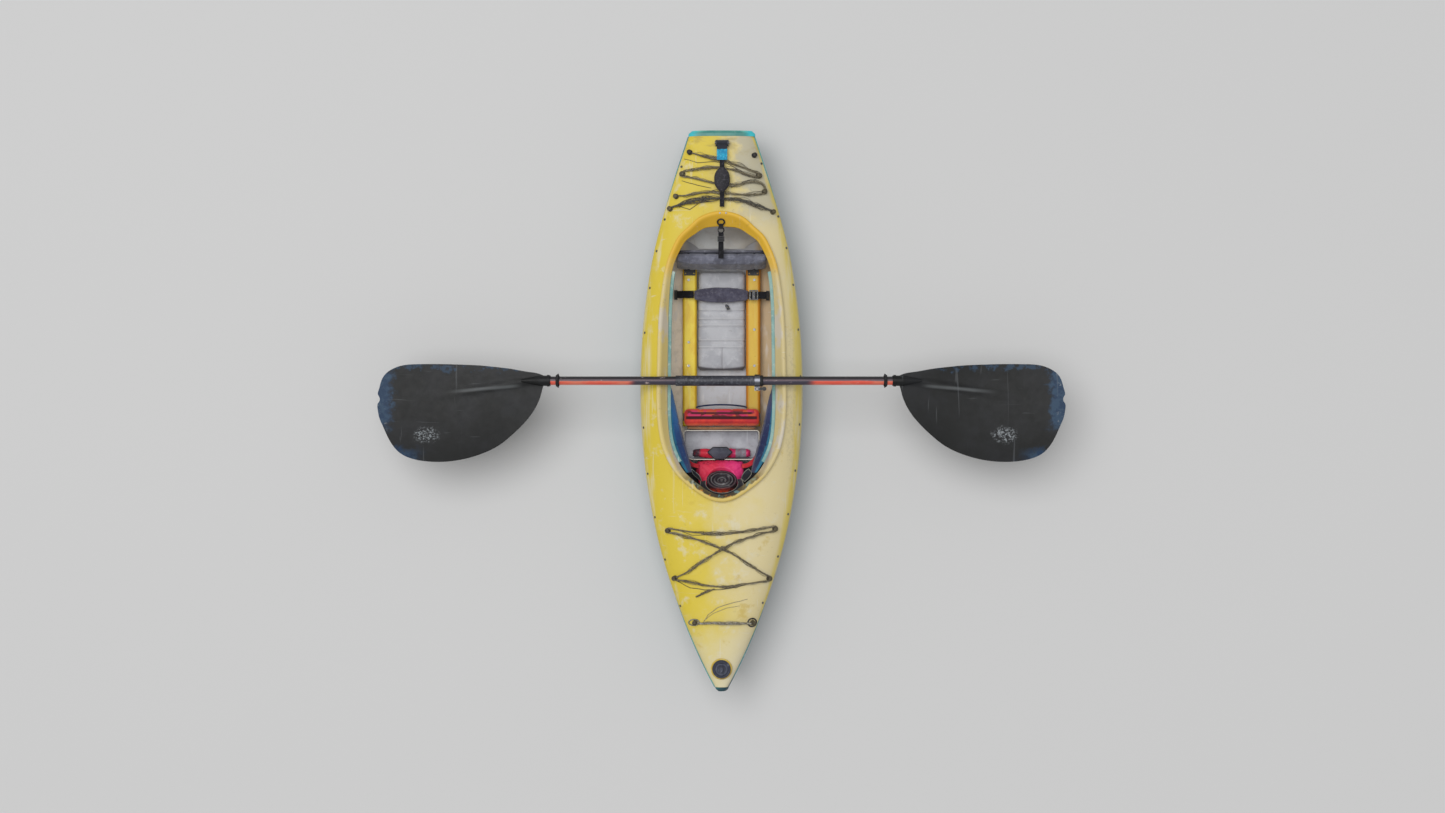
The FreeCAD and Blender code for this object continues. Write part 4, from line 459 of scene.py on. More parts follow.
def hull_material():
    g = Mat("hull_plastic", spec=0.4)
    big, mid, fine = g.noise(4, 4, 0.6), g.noise(18, 4, 0.6), g.noise(80, 3, 0.6)
    c = g.mix(g.band(big, 0.4, 0.62), rgb(52, 140, 138), rgb(36, 112, 122))
    c = g.mix(g.mul(g.band(mid, 0.55, 0.7), 0.4), c, rgb(104, 172, 162))
    # long scrapes running bow to stern on the bottom, and a pale waterline mark
    lo = g.band(g.axis(2), 0.10, 0.03)
    scr = g.band(g.noise(46, 3, 0.6, (1, 0.035, 1)), 0.56, 0.66)
    c = g.mix(g.mul(g.mul(lo, scr), 0.75), c, rgb(168, 196, 186))
    wl = g.mul(g.band(g.math("ADD", g.axis(2), g.math("MULTIPLY", mid, 0.02)), 0.125, 0.132), g.band(g.axis(2), 0.150, 0.142))
    c = g.mix(g.mul(wl, 0.35), c, rgb(150, 160, 130))
    s = scratches(g, 0.8)
    c = g.mix(g.mul(s, 0.4), c, rgb(160, 200, 192))
    tip = g.band(g.math("ADD", g.axis(1), g.math("MULTIPLY", g.axis(0), -0.6)), -1.020, -1.052)
    c = g.mix(g.mul(tip, 0.88), c, rgb(30, 44, 60))
    g.colour(c)
    g.rough(fine, 0.3, 0.55)
    g.bump(g.math("ADD", g.noise(300, 2), g.math("MULTIPLY", s, -1.0)), 0.0005, 0.5)
    return g.m


def flange_material():
    """The seam lip: teal at the ends, rubbed to pale yellow along the middle."""
    g = Mat("seam_plastic", spec=0.4)
    y, x = g.axis(1), g.axis(0)
    n = g.noise(22, 4, 0.6)
    yy = g.math("ADD", y, g.math("MULTIPLY", g.math("SUBTRACT", n, 0.5), 0.3))
    teal = g.math("ADD", g.band(yy, -0.70, -0.92), g.mul(g.band(yy, 0.52, 0.74), g.band(x, 0.02, -0.02)), clamp=True)
    teal = g.math("ADD", teal, g.mul(g.band(yy, 0.86, 0.98), 0.9), clamp=True)
    c = g.mix(g.band(n, 0.42, 0.6), rgb(196, 184, 124), rgb(186, 168, 72))
    c = g.mix(teal, c, g.mix(g.band(n, 0.4, 0.6), rgb(48, 150, 152), rgb(84, 160, 150)))
    c = g.mix(g.mul(scratches(g), 0.4), c, WHITE)
    g.colour(c)
    g.rough(n, 0.35, 0.6)
    g.bump(g.noise(260, 2), 0.0004, 0.5)
    return g.m


def transom_material():
    g = Mat("transom_plastic", spec=0.4)
    n, f = g.noise(14, 4, 0.6), g.noise(70, 3)
    c = g.mix(g.band(n, 0.4, 0.62), rgb(70, 160, 152), rgb(108, 184, 168))
    cn = g.band(g.math("ABSOLUTE", g.axis(0)), 0.075, 0.112)
    c = g.mix(g.mul(cn, 0.8), c, rgb(48, 186, 200))
    c = g.mix(g.mul(scratches(g), 0.5), c, rgb(190, 214, 204))
    # dark band along the top where it meets the deck: painted shade in the joint
    c = g.mix(g.mul(g.band(g.axis(2), 0.215, 0.225), 0.5), c, rgb(34, 66, 72))
    g.colour(c)
    g.rough(f, 0.3, 0.5)
    g.bump(g.noise(260, 2), 0.0004, 0.5)
    return g.m


def coaming_material():
    g = Mat("coaming_plastic", spec=0.35)
    x, y = g.axis(0), g.axis(1)
    lo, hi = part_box("cockpit_coaming")
    n, f = g.noise(14, 4, 0.62), g.noise(75, 4, 0.6)
    nn = g.math("MULTIPLY", g.math("SUBTRACT", n, 0.5), 0.16)
    c = g.mix(g.band(g.math("ADD", x, nn), -0.12, 0.12), rgb(208, 188, 122), rgb(200, 184, 134))
    # the stern end of the coaming is painted orange: painted shade on its sloped inner wall
    stern = g.band(g.math("ADD", y, nn), 0.46, 0.60)
    c = g.mix(stern, c, rgb(216, 172, 52))
    white = g.band(g.noise(20, 4, 0.6, (1, 0.4, 1)), 0.50, 0.62)
    midy = g.mul(g.band(y, 0.52, 0.40), g.band(y, -0.28, -0.16))
    c = g.mix(g.mul(g.mul(white, midy), 0.75), c, rgb(196, 190, 182))
    bow = g.band(g.math("ADD", y, nn), -0.20, -0.31)
    c = g.mix(g.mul(bow, 0.85), c, rgb(206, 180, 92))
    # the inner edge along the sides is painted: dark grey-mauve on the right as painted shade, pale mauve on the left
    out = outline("cockpit_coaming", 20)
    ratio, hw = edge_ratio(g, out)
    inner = g.band(ratio, 0.86, 0.80)
    inner_edge_shade_colour = g.mix(g.band(x, -0.05, 0.05), rgb(172, 164, 172), rgb(124, 108, 118))
    c = g.mix(g.mul(g.mul(inner, midy), 0.7), c, inner_edge_shade_colour)
    # the inner wall at the bow end is painted near black, painted shade in the recess, with painted orange and cyan
    # glints
    bowl = [9.0] * 25
    for v in N["cockpit_coaming"].data.vertices:
        k = min(24, int(abs(v.co.x) / 0.010))
        bowl[k] = min(bowl[k], v.co.y)
    for k in range(23, -1, -1):
        bowl[k] = min(bowl[k], bowl[k + 1])
    bowl = [b if b < 5 else 0.0 for b in bowl]
    yb = g.curve(g.math("ABSOLUTE", x), 0.005, 0.245, [(0.005 + 0.010 * k, bowl[k] + 0.5) for k in range(25)])
    dist = g.math("SUBTRACT", g.math("ADD", y, 0.5), yb)
    dist = g.math("ADD", dist, g.math("MULTIPLY", g.math("SUBTRACT", f, 0.5), 0.010))
    bow_recess_shade = g.band(dist, 0.012, 0.018)
    glint = g.noise(38, 3, 0.6, (1, 1, 1), 0, (3, 1, 2))
    dark = g.mix(g.band(glint, 0.55, 0.63), rgb(46, 42, 44), rgb(176, 104, 44))
    dark = g.mix(g.mul(g.band(glint, 0.42, 0.36), 0.8), dark, rgb(84, 128, 136))
    c = g.mix(g.mul(g.mul(bow_recess_shade, bow), 0.94), c, dark)
    c = g.mix(g.mul(scratches(g), 0.35), c, WHITE)
    c = g.mix(g.mul(g.band(g.noise(48, 5, 0.7), 0.62, 0.72), 0.35), c, rgb(104, 84, 52))
    g.colour(c)
    g.rough(f, 0.35, 0.6)
    g.bump(g.math("ADD", g.noise(300, 2), g.noise(30, 3)), 0.0005, 0.5)
    return g.m


def liner_material(name, left, right, dirt=rgb(120, 110, 92), floor=None, bow=None):
    g = Mat(name, spec=0.3)
    n, m, f = g.noise(7, 4, 0.6), g.noise(26, 4, 0.62), g.noise(90, 3)
    # the right side is painted darker than the left: painted shade
    c = g.mix(g.band(g.math("ADD", g.axis(0), g.math("MULTIPLY", g.math("SUBTRACT", n, 0.5), 0.3)), -0.10, 0.12), left, right)
    if floor:
        c = g.mix(g.mul(g.band(g.math("ADD", g.axis(2), g.math("MULTIPLY", m, 0.01)), 0.062, 0.050), g.band(g.math("ABSOLUTE", g.axis(0)), 0.15, 0.12)), c, floor)
    c = g.mix(g.mul(g.band(m, 0.48, 0.66), 0.22), c, dirt)
    # pale streaks: painted highlights on the moulding
    c = g.mix(g.mul(g.band(g.noise(12, 4, 0.6, (1, 0.3, 1), 0, (4, 4, 4)), 0.54, 0.62), 0.5), c, rgb(222, 222, 222))
    # the bow end is painted near black: painted shade under the foredeck
    if bow:
        c = g.mix(g.band(g.math("ADD", g.axis(1), g.math("MULTIPLY", m, 0.04)), -0.165, -0.205), c, bow)
    c = g.mix(g.mul(scratches(g), 0.4), c, rgb(220, 220, 218))
    g.colour(c)
    g.rough(f, 0.4, 0.7)
    g.bump(g.math("ADD", g.noise(240, 2), g.math("MULTIPLY", m, 1.5)), 0.0005, 0.5)
    return g.m


def rail_material():
    g = Mat("rail_plastic", spec=0.35)
    x = g.axis(0)
    n, f = g.noise(20, 4, 0.6, (1, 0.4, 1)), g.noise(90, 3)
    c = g.mix(g.band(n, 0.42, 0.62), rgb(244, 218, 72), rgb(232, 196, 58))
    # the right rail is painted darker and more orange than the left, and the rails' long edges darker orange: painted
    # shade
    right = g.band(x, 0.0, 0.02)
    c = g.mix(g.mul(right, 0.75), c, rgb(208, 166, 54))
    edge = g.math("ADD", g.band(x, 0.110, 0.100), g.band(x, 0.134, 0.146), clamp=True)
    c = g.mix(g.mul(g.mul(right, edge), 0.85), c, rgb(196, 118, 22))
    left_rail_edge_shade = g.mul(g.band(x, 0.0, -0.02), g.math("ADD", g.band(x, -0.140, -0.148), g.band(x, -0.106, -0.099), clamp=True))
    c = g.mix(g.mul(left_rail_edge_shade, 0.55), c, rgb(190, 138, 24))
    c = g.mix(g.mul(g.band(g.noise(60, 5, 0.7), 0.63, 0.72), 0.6), c, rgb(94, 74, 34))
    c = g.mix(g.mul(scratches(g), 0.4), c, rgb(226, 214, 150))
    g.colour(c)
    g.rough(f, 0.3, 0.55)
    g.bump(g.math("ADD", g.noise(280, 2), n), 0.0004, 0.5)
    return g.m


def shaft_material(name, lo, hi):
    """Black tube, with a red band facing the bow over the outer part."""
    g = Mat(name, spec=0.45)
    x, y, z = g.axis(0), g.axis(1), g.axis(2)
    c0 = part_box("shaft_left")
    cy = (c0[0].y + c0[1].y) / 2
    n, f = g.noise(40, 4, 0.6, (0.25, 1, 1)), g.noise(160, 3)
    dy = g.math("SUBTRACT", y, cy)
    ax = g.math("ABSOLUTE", x)
    c = g.mix(g.band(dy, -0.001, 0.010), rgb(84, 64, 74), rgb(34, 32, 36))
    redzone = g.mul(g.band(g.math("ADD", ax, g.math("MULTIPLY", n, 0.05)), lo, lo + 0.05), g.band(ax, hi + 0.01, hi - 0.02))
    side = g.band(g.math("ADD", dy, g.math("MULTIPLY", g.math("SUBTRACT", n, 0.5), 0.006)), 0.0005, -0.003)
    red = g.mix(g.band(n, 0.4, 0.62), rgb(216, 84, 66), rgb(212, 116, 92))
    c = g.mix(g.mul(redzone, side), c, red)
    rest = g.mul(g.band(ax, lo + 0.02, lo - 0.02), side)
    c = g.mix(g.mul(rest, 0.8), c, rgb(52, 52, 66))
    c = g.mix(g.mul(g.band(g.noise(60, 5, 0.7, (0.5, 1, 1)), 0.62, 0.7), 0.7), c, rgb(196, 176, 172))
    g.colour(c)
    g.rough(f, 0.25, 0.5)
    g.bump(g.math("ADD", f, n), 0.0003, 0.4)
    return g.m


def blade_material(name, sgn, tip=1.291):
    g = Mat(name, spec=0.2)
    x, y = g.axis(0), g.axis(1)
    ax = g.math("ABSOLUTE", x)
    n, m, f = g.noise(9, 4, 0.6), g.noise(32, 4, 0.65), g.noise(120, 3)
    c = g.mix(g.band(n, 0.4, 0.65), rgb(24, 25, 25), rgb(31, 32, 34))
    navy = g.mix(g.band(m, 0.42, 0.6), rgb(26, 54, 84), rgb(50, 74, 98))
    w = g.math("MULTIPLY", g.math("SUBTRACT", m, 0.5), 0.10)
    tipz = g.band(g.math("ADD", ax, w), tip - 0.070, tip - 0.035)
    side_patch = g.mul(tipz, g.band(g.math("ADD", y, w), -0.09, -0.03))
    corner = g.mul(g.band(g.math("ADD", ax, w), tip - 0.19, tip - 0.09), g.band(g.math("ADD", y, w), -0.130, -0.165))
    blue = g.math("MAXIMUM", side_patch, corner)
    edge = g.mul(g.band(g.math("ADD", y, w), 0.150, 0.166), g.band(m, 0.45, 0.58))
    blue = g.math("MAXIMUM", blue, g.math("MULTIPLY", edge, 0.7))
    c = g.mix(g.mul(blue, 0.85), c, navy)
    sx = -1.110 if sgn < 0 else 1.066
    scuff = g.mul(g.spot(sx, -0.092, 0.040, 0.026, 0.9, 1.2, 50), g.band(g.noise(130, 4, 0.75), 0.48, 0.60))
    c = g.mix(g.mul(scuff, 0.8), c, rgb(150, 156, 160))
    chips = g.mul(g.band(ax, tip - 0.05, tip - 0.005), g.band(g.noise(60, 4, 0.7), 0.60, 0.68))
    c = g.mix(g.mul(chips, 0.6), c, rgb(170, 174, 176))
    # pale line where the stiffening spine catches light
    sp = g.mul(g.band(g.math("ABSOLUTE", g.math("SUBTRACT", y, g.math("ADD", 0.094, g.math("MULTIPLY", g.math("SUBTRACT", ax, 0.75), -0.085)))), 0.010, 0.001), g.mul(g.band(ax, 1.06, 0.92), g.band(ax, 0.74, 0.80)))
    c = g.mix(g.mul(sp, 0.38), c, rgb(120, 124, 126))
    c = g.mix(g.mul(scratches(g, 0.8), 0.22), c, rgb(112, 116, 120))
    g.colour(c)
    g.rough(m, 0.32, 0.58)
    g.bump(g.math("ADD", f, g.math("MULTIPLY", scratches(g, 0.8), -1.0)), 0.0004, 0.5)
    return g.m


def cord_material(name, a, b, light, pitch=0.0045, d=0.0056):
    """Braided sheath: mottled, with pale flecks and a cellular bump."""
    g = Mat(name, spec=0.25, sheen=0.2)
    n = g.noise(160, 4, 0.7)
    v = g.noise(420, 3, 0.75)
    br = g.voronoi(900)
    c = g.mix(g.band(n, 0.38, 0.62), a, b)
    # pale flecks: partly the fibres' own colour, partly painted highlights
    c = g.mix(g.mul(g.band(v, 0.58, 0.68), 0.75), c, light)
    g.colour(c)
    g.rough(v, 0.6, 0.9)
    g.bump(g.math("ADD", br, v), 0.0006, 0.8)
    return g.m


def tray_material():
    g = Mat("tray_plastic", spec=0.5)
    n, m = g.noise(12, 4, 0.6), g.noise(60, 4, 0.65)
    z = g.axis(2)
    c = g.mix(g.band(n, 0.42, 0.62), rgb(172, 173, 180), rgb(150, 150, 158))
    rim = g.band(z, 0.088, 0.093)
    c = g.mix(g.mul(rim, 0.9), c, rgb(206, 200, 184))
    c = g.mix(g.mul(g.band(m, 0.58, 0.7), 0.5), c, rgb(106, 100, 94))
    c = g.mix(g.mul(scratches(g, 1.4), 0.5), c, rgb(222, 222, 224))
    g.colour(c)
    g.rough(m, 0.25, 0.5)
    g.bump(g.math("ADD", g.noise(260, 2), m), 0.0004, 0.5)
    return g.m


def rubber_ring(name, base, mid, light, centre, axis=(0, 0, 1), pitch=0.009, crescent=None):
    """Moulded rubber with rings round a centre."""
    g = Mat(name, spec=0.35)
    c0 = Vector(centre)
    a = Vector(axis).normalized()
    sub = g.t.nodes.new("ShaderNodeVectorMath")
    sub.operation = "SUBTRACT"
    g.t.links.new(g.co, sub.inputs[0])
    sub.inputs[1].default_value = c0
    cr = g.t.nodes.new("ShaderNodeVectorMath")
    cr.operation = "CROSS_PRODUCT"
    g.t.links.new(sub.outputs[0], cr.inputs[0])
    cr.inputs[1].default_value = a
    ln = g.t.nodes.new("ShaderNodeVectorMath")
    ln.operation = "LENGTH"
    g.t.links.new(cr.outputs[0], ln.inputs[0])
    r = ln.outputs["Value"]
    n, m = g.noise(60, 4, 0.65), g.noise(220, 3)
    ring = g.math("SINE", g.math("MULTIPLY", r, 2 * math.pi / pitch))
    c = g.mix(g.band(ring, 0.2, 0.95), base, mid)
    c = g.mix(g.mul(g.band(n, 0.55, 0.7), 0.45), c, light)
    if crescent:
        inner, outer, col, lim = crescent
        cz = g.mul(g.mul(g.band(r, inner, inner + 0.003), g.band(r, outer, outer - 0.003)), g.band(g.axis(1), lim + 0.01, lim - 0.01))
        c = g.mix(g.mul(cz, g.band(n, 0.35, 0.55)), c, col)
    c = g.mix(g.mul(scratches(g, 2), 0.3), c, light)
    g.colour(c)
    g.rough(n, 0.4, 0.7)
    g.bump(g.math("ADD", g.math("MULTIPLY", ring, 1.0), m), 0.0006, 0.6)
    return g.m


def paint(node, m):
    o = N[node]
    if not o.material_slots:
        o.data.materials.append(m)
    for s in o.material_slots:
        s.material = m


# ---------------------------------------------------------------- materials on the carried-over CAD nodes
M = {}
M["deck"] = deck_material()
M["hull"] = hull_material()
M["seam"] = flange_material()
M["transom"] = transom_material()
M["coaming"] = coaming_material()
M["trim"] = moulded("trim_plastic", rgb(134, 168, 160), rgb(104, 150, 148), rgb(196, 206, 196), wear=0.55)
M["liner"] = liner_material("liner_plastic", rgb(250, 240, 224), rgb(196, 172, 136), rgb(160, 148, 126), rgb(196, 197, 202), rgb(44, 44, 50))
M["bulk"] = liner_material("bulkhead_plastic", rgb(250, 252, 252), rgb(214, 208, 198), rgb(170, 162, 152))
M["rail"] = rail_material()
M["steel"] = metal("screw_steel", rgb(112, 112, 114), dirt=rgb(46, 38, 32), amount=0.8)
M["chrome"] = metal("clamp_chrome", rgb(120, 122, 130), rough=(0.22, 0.45), dirt=rgb(30, 30, 34), amount=0.75)
M["black"] = moulded("fitting_black", rgb(34, 33, 37), rgb(24, 24, 28), rgb(96, 96, 102), grain=2.5, wear=0.45)
M["foam"] = moulded("closed_foam", rgb(126, 126, 128), rgb(104, 104, 108), rgb(160, 160, 160), rough=(0.75, 0.95), grain=2.0, bump=0.001, spec=0.2)
M["keel"] = moulded("keel_plastic", rgb(58, 66, 70), rgb(42, 50, 56), rgb(150, 158, 160), wear=0.7)
M["tray"] = tray_material()
M["tube"] = moulded("centre_tube_plastic", rgb(52, 53, 62), rgb(34, 35, 42), rgb(118, 120, 128), grain=2.0, wear=0.4, rough=(0.3, 0.5))
M["shaft"] = shaft_material("shaft_glassfibre", 0.335, 0.665)
M["bladeL"] = blade_material("blade_plastic_left", -1)
M["bladeR"] = blade_material("blade_plastic_right", 1)
M["rubber"] = moulded("drip_rubber", rgb(30, 30, 32), rgb(22, 22, 24), rgb(84, 84, 88), rough=(0.6, 0.85), grain=3.0)
M["board"] = moulded("backrest_plastic", rgb(78, 79, 90), rgb(58, 59, 70), rgb(136, 138, 148), grain=1.4, wear=0.5)
M["bar"] = moulded("brace_bar_plastic", rgb(44, 34, 40), rgb(32, 26, 32), rgb(110, 84, 84), grain=2.0)
def hardware_material():
    """Dark buckle with bright spots that are painted glints."""
    g = Mat("buckle_plastic", spec=0.5)
    n, m = g.noise(70, 4, 0.65), g.noise(190, 3, 0.6)
    c = g.mix(g.band(n, 0.42, 0.6), rgb(34, 36, 42), rgb(56, 60, 72))
    c = g.mix(g.mul(g.band(m, 0.58, 0.66), 0.8), c, rgb(178, 172, 150))
    c = g.mix(g.mul(scratches(g, 2), 0.4), c, rgb(200, 200, 206))
    g.colour(c)
    g.rough(m, 0.25, 0.5)
    g.bump(g.math("ADD", n, m), 0.0003, 0.5)
    return g.m


M["hardware"] = hardware_material()
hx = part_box("hatch_cap")
hc = (hx[0] + hx[1]) / 2
M["hatch"] = rubber_ring("hatch_rubber", rgb(46, 49, 64), rgb(66, 70, 86), rgb(124, 128, 144), hc, (0, -0.0908, 0.9959), 0.016)
M["hatchrim"] = moulded("hatch_rim_plastic", rgb(196, 166, 62), rgb(150, 118, 44), rgb(222, 206, 140), wear=0.6)


def eye_material():
    """Moulded buttons: near black at the stern corners, sun-bleached olive elsewhere."""
    g = Mat("deck_button_plastic", spec=0.35)
    n, f = g.noise(60, 4, 0.65), g.noise(220, 3)
    c = g.mix(g.band(n, 0.38, 0.64), rgb(92, 84, 62), rgb(62, 56, 44))
    c = g.mix(g.band(g.axis(1), 0.93, 0.94), c, rgb(42, 40, 40))
    c = g.mix(g.mul(g.band(f, 0.58, 0.70), 0.5), c, rgb(150, 140, 104))
    g.colour(c)
    g.rough(n, 0.4, 0.7)
    g.bump(g.math("ADD", f, n), 0.0004, 0.5)
    return g.m


M["eyes"] = eye_material()
M["gasket"] = moulded("gasket_rubber", rgb(24, 24, 28), rgb(18, 18, 20), rgb(70, 70, 76), rough=(0.6, 0.8), grain=3.0)
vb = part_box("valve_cap")
vc = (vb[0] + vb[1]) / 2
VAX = (0, 0.8090, 0.5878)
M["valve"] = rubber_ring("valve_rubber", rgb(46, 43, 48), rgb(104, 101, 103), rgb(168, 165, 165), vc, VAX, 0.0125)
M["valvering"] = rubber_ring("valve_ring_rubber", rgb(52, 38, 44), rgb(98, 84, 88), rgb(150, 140, 140), vc, VAX, 0.010, (0.044, 0.062, rgb(206, 66, 34), -0.300))
M["web"] = woven("black_webbing", rgb(30, 30, 36), rgb(18, 18, 22), rgb(88, 88, 98), 0.0020)
M["bluetab"] = woven("blue_webbing", rgb(44, 178, 214), rgb(30, 120, 166), rgb(128, 214, 232), 0.0020, wear=0.5)
tl_, th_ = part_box("handle_tab")


def tab_material():
    g = Mat("tab_webbing", spec=0.3, sheen=0.2)
    y = g.axis(1)
    m, f = g.noise(60, 4, 0.65), g.noise(200, 3)
    c = g.mix(g.band(m, 0.4, 0.62), rgb(40, 168, 204), rgb(34, 134, 178))
    c = g.mix(g.mul(g.band(f, 0.56, 0.68), 0.5), c, rgb(126, 212, 230))
    top = g.band(g.math("ADD", y, g.math("MULTIPLY", g.math("SUBTRACT", m, 0.5), 0.010)), th_.y - 0.034, th_.y - 0.030)
    c = g.mix(top, c, rgb(38, 37, 44))
    k = math.pi / 0.0020 / 20
    w = g.math("MULTIPLY", g.wave(k, "X"), g.wave(k, "Y"))
    c = g.mix(g.mul(w, 0.35), c, rgb(20, 60, 84))
    g.colour(c)
    g.rough(f, 0.6, 0.85)
    g.bump(g.math("ADD", w, f), 0.0005, 0.8)
    return g.m


M["bluetab"] = tab_material()
M["grip"] = moulded("grip_rubber", rgb(40, 38, 44), rgb(28, 27, 33), rgb(100, 98, 108), rough=(0.55, 0.8), grain=2.5)

for node, key in {
    "hull_shell": "hull", "deck_shell": "deck", "transom_plate": "transom", "bow_cap": "hull", "keel_strips": "keel",
    "seam_flange": "seam", "cockpit_coaming": "coaming", "side_trims": "trim", "cockpit_liner": "liner",
    "stern_bulkhead": "bulk", "foam_pillars": "foam", "rail_left": "rail", "rail_right": "rail", "rail_screws": "steel",
    "gear_tray": "tray", "hinge_brackets": "black", "hinge_pins": "steel", "strap_anchor": "black",
    "strap_buckle": "black", "band_anchors": "black", "valve_ring": "valvering", "valve_cap": "valve",
    "hatch_ring": "hatchrim", "hatch_gasket": "gasket", "hatch_cap": "hatch", "deck_eyes": "eyes", "deck_fasteners": "steel",
    "handle_anchor": "black", "handle_pin": "steel", "handle_tab": "bluetab", "handle_webbing": "web", "handle_grip": "grip",
    "backrest_board": "board", "band_hardware": "hardware", "footrest_bar": "bar", "centre_tube": "tube",
    "shaft_left": "shaft", "shaft_right": "shaft", "tube_sleeve": "rubber", "blade_left": "bladeL", "blade_right": "bladeR",
    "ferrule_clamp": "chrome", "ferrule_bolt": "steel", "ferrule_lever": "black", "ferrule_bush": "rubber",
    "drip_ring_left": "rubber", "drip_ring_right": "rubber",
    "seat_pad": "foam", "thigh_pads": "foam", "float_bag": "foam", "backrest_pad": "board", "backrest_strap": "web",
    "band_pad": "web", "band_webbing": "web", "footrest_pad": "foam",
    "bow_bungee": "black", "bow_bungee_tail": "black", "bow_rope": "black", "stern_bungee": "black", "stern_arc_cord": "black",
}.items():
    paint(node, M[key])

# cords: finish, ride
M["cord"] = cord_material("bungee_sheath", rgb(84, 78, 62), rgb(116, 106, 80), rgb(196, 188, 156))
M["rope"] = cord_material("rope_fibre", rgb(164, 160, 148), rgb(74, 72, 68), rgb(214, 210, 196))
M["arc"] = cord_material("arc_sheath", rgb(52, 52, 50), rgb(82, 78, 66), rgb(170, 168, 150))
for key, o in cords.items():
    o.data.materials.append(M["rope" if key == "bow_rope" else "arc" if key == "stern_arc_cord" else "cord"])
    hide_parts(key)
    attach(o, "kayak")


# ---------------------------------------------------------------- soft pieces
def densify(me, limit):
    """Cuts long edges so a flat CAD mesh can bend or be pushed about."""
    bm = bmesh.new()
    bm.from_mesh(me)
    bmesh.ops.remove_doubles(bm, verts=bm.verts, dist=1e-5)
    bmesh.ops.triangulate(bm, faces=bm.faces)
    for _ in range(7):
        long = [e for e in bm.edges if e.calc_length() > limit]
        if not long:
            break
        bmesh.ops.subdivide_edges(bm, edges=long, cuts=1)
        bmesh.ops.triangulate(bm, faces=bm.faces)
    bm.normal_update()
    bm.to_mesh(me)
    bm.free()


def copy_node(node, name):
    src = N[node]
    o = bpy.data.objects.new(name, src.data.copy())
    o.data.materials.clear()
    link(o)
    return o


def bake(o):
    dg = bpy.context.evaluated_depsgraph_get()
    me = bpy.data.meshes.new_from_object(o.evaluated_get(dg))
    o.modifiers.clear()
    old = o.data
    o.data = me
    if old.users == 0:
        bpy.data.meshes.remove(old)
    for p in o.data.polygons:
        p.use_smooth = True
    return o


def remesh(o, voxel, smooth=4, factor=0.5):
    r = o.modifiers.new("r", "REMESH")
    r.mode = "VOXEL"
    r.voxel_size = voxel
    if smooth:
        s = o.modifiers.new("s", "SMOOTH")
        s.factor = factor
        s.iterations = smooth
    return bake(o)


def split(o):
    """Separate closed parts of a mesh, as lists of vertex indices."""
    me = o.data
    adj = [[] for _ in me.vertices]
    for e in me.edges:
        adj[e.vertices[0]].append(e.vertices[1])
        adj[e.vertices[1]].append(e.vertices[0])
    seen, out = [False] * len(adj), []
    for i in range(len(adj)):
        if seen[i]:
            continue
        st, part = [i], []
        seen[i] = True
        while st:
            k = st.pop()
            part.append(k)
            for q in adj[k]:
                if not seen[q]:
                    seen[q] = True
                    st.append(q)
        out.append(part)
    return out


def puff(o, cap=0.008, pressure=4.0, frames=20, shrink=0.002, stiff=18):
    """Cloth with pressure, run and applied; a point may move only so far."""
    me = o.data
    base = [v.co.copy() for v in me.vertices]
    nrm = [v.normal.copy() for v in me.vertices]
    for v, n in zip(me.vertices, nrm):
        v.co = v.co - n * shrink
    c = o.modifiers.new("c", "CLOTH")
    st = c.settings
    st.quality = 5
    st.mass = 0.3
    st.tension_stiffness = stiff
    st.compression_stiffness = stiff
    st.shear_stiffness = 5
    st.bending_stiffness = 0.4
    st.use_pressure = True
    st.uniform_pressure_force = pressure
    st.effector_weights.gravity = 0
    c.collision_settings.use_collision = False
    c.point_cache.frame_start = 1
    c.point_cache.frame_end = frames
    for f in range(1, frames + 1):
        scene.frame_set(f)
    dg = bpy.context.evaluated_depsgraph_get()
    ev = o.evaluated_get(dg)
    moved = [v.co.copy() for v in ev.data.vertices]
    o.modifiers.clear()
    for v, b, m in zip(o.data.vertices, base, moved):
        d = m - b
        if d.length > cap:
            d = d * (cap / d.length)
        v.co = b + d
    scene.frame_set(1)
    o.data.update()
    return o


def inside(o, lo, hi):
    """Keeps a soft piece within its space."""
    for v in o.data.vertices:
        for k in range(3):
            v.co[k] = min(max(v.co[k], lo[k]), hi[k])
    o.data.update()


def push(o, fn):
    """Moves each point along its normal by fn(point, normal)."""
    me = o.data
    me.update()
    n = [v.normal.copy() for v in me.vertices]
    for v, k in zip(me.vertices, n):
        v.co = v.co + k * fn(v.co, k)
    me.update()
    return o


def fabric(o, m, body, node=None):
    o.data.materials.clear()
    o.data.materials.append(m)
    if node:
        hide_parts(node)
    if body:
        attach(o, body)
    return o


def gauss(t, w):
    return math.exp(-(t / w) ** 2)


# seat pad: one long sewn foam pad, channels across it, one seam down the forward bay
lo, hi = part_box("seat_pad")
SEAMS = [0.386, 0.351, 0.325, 0.268, 0.241]


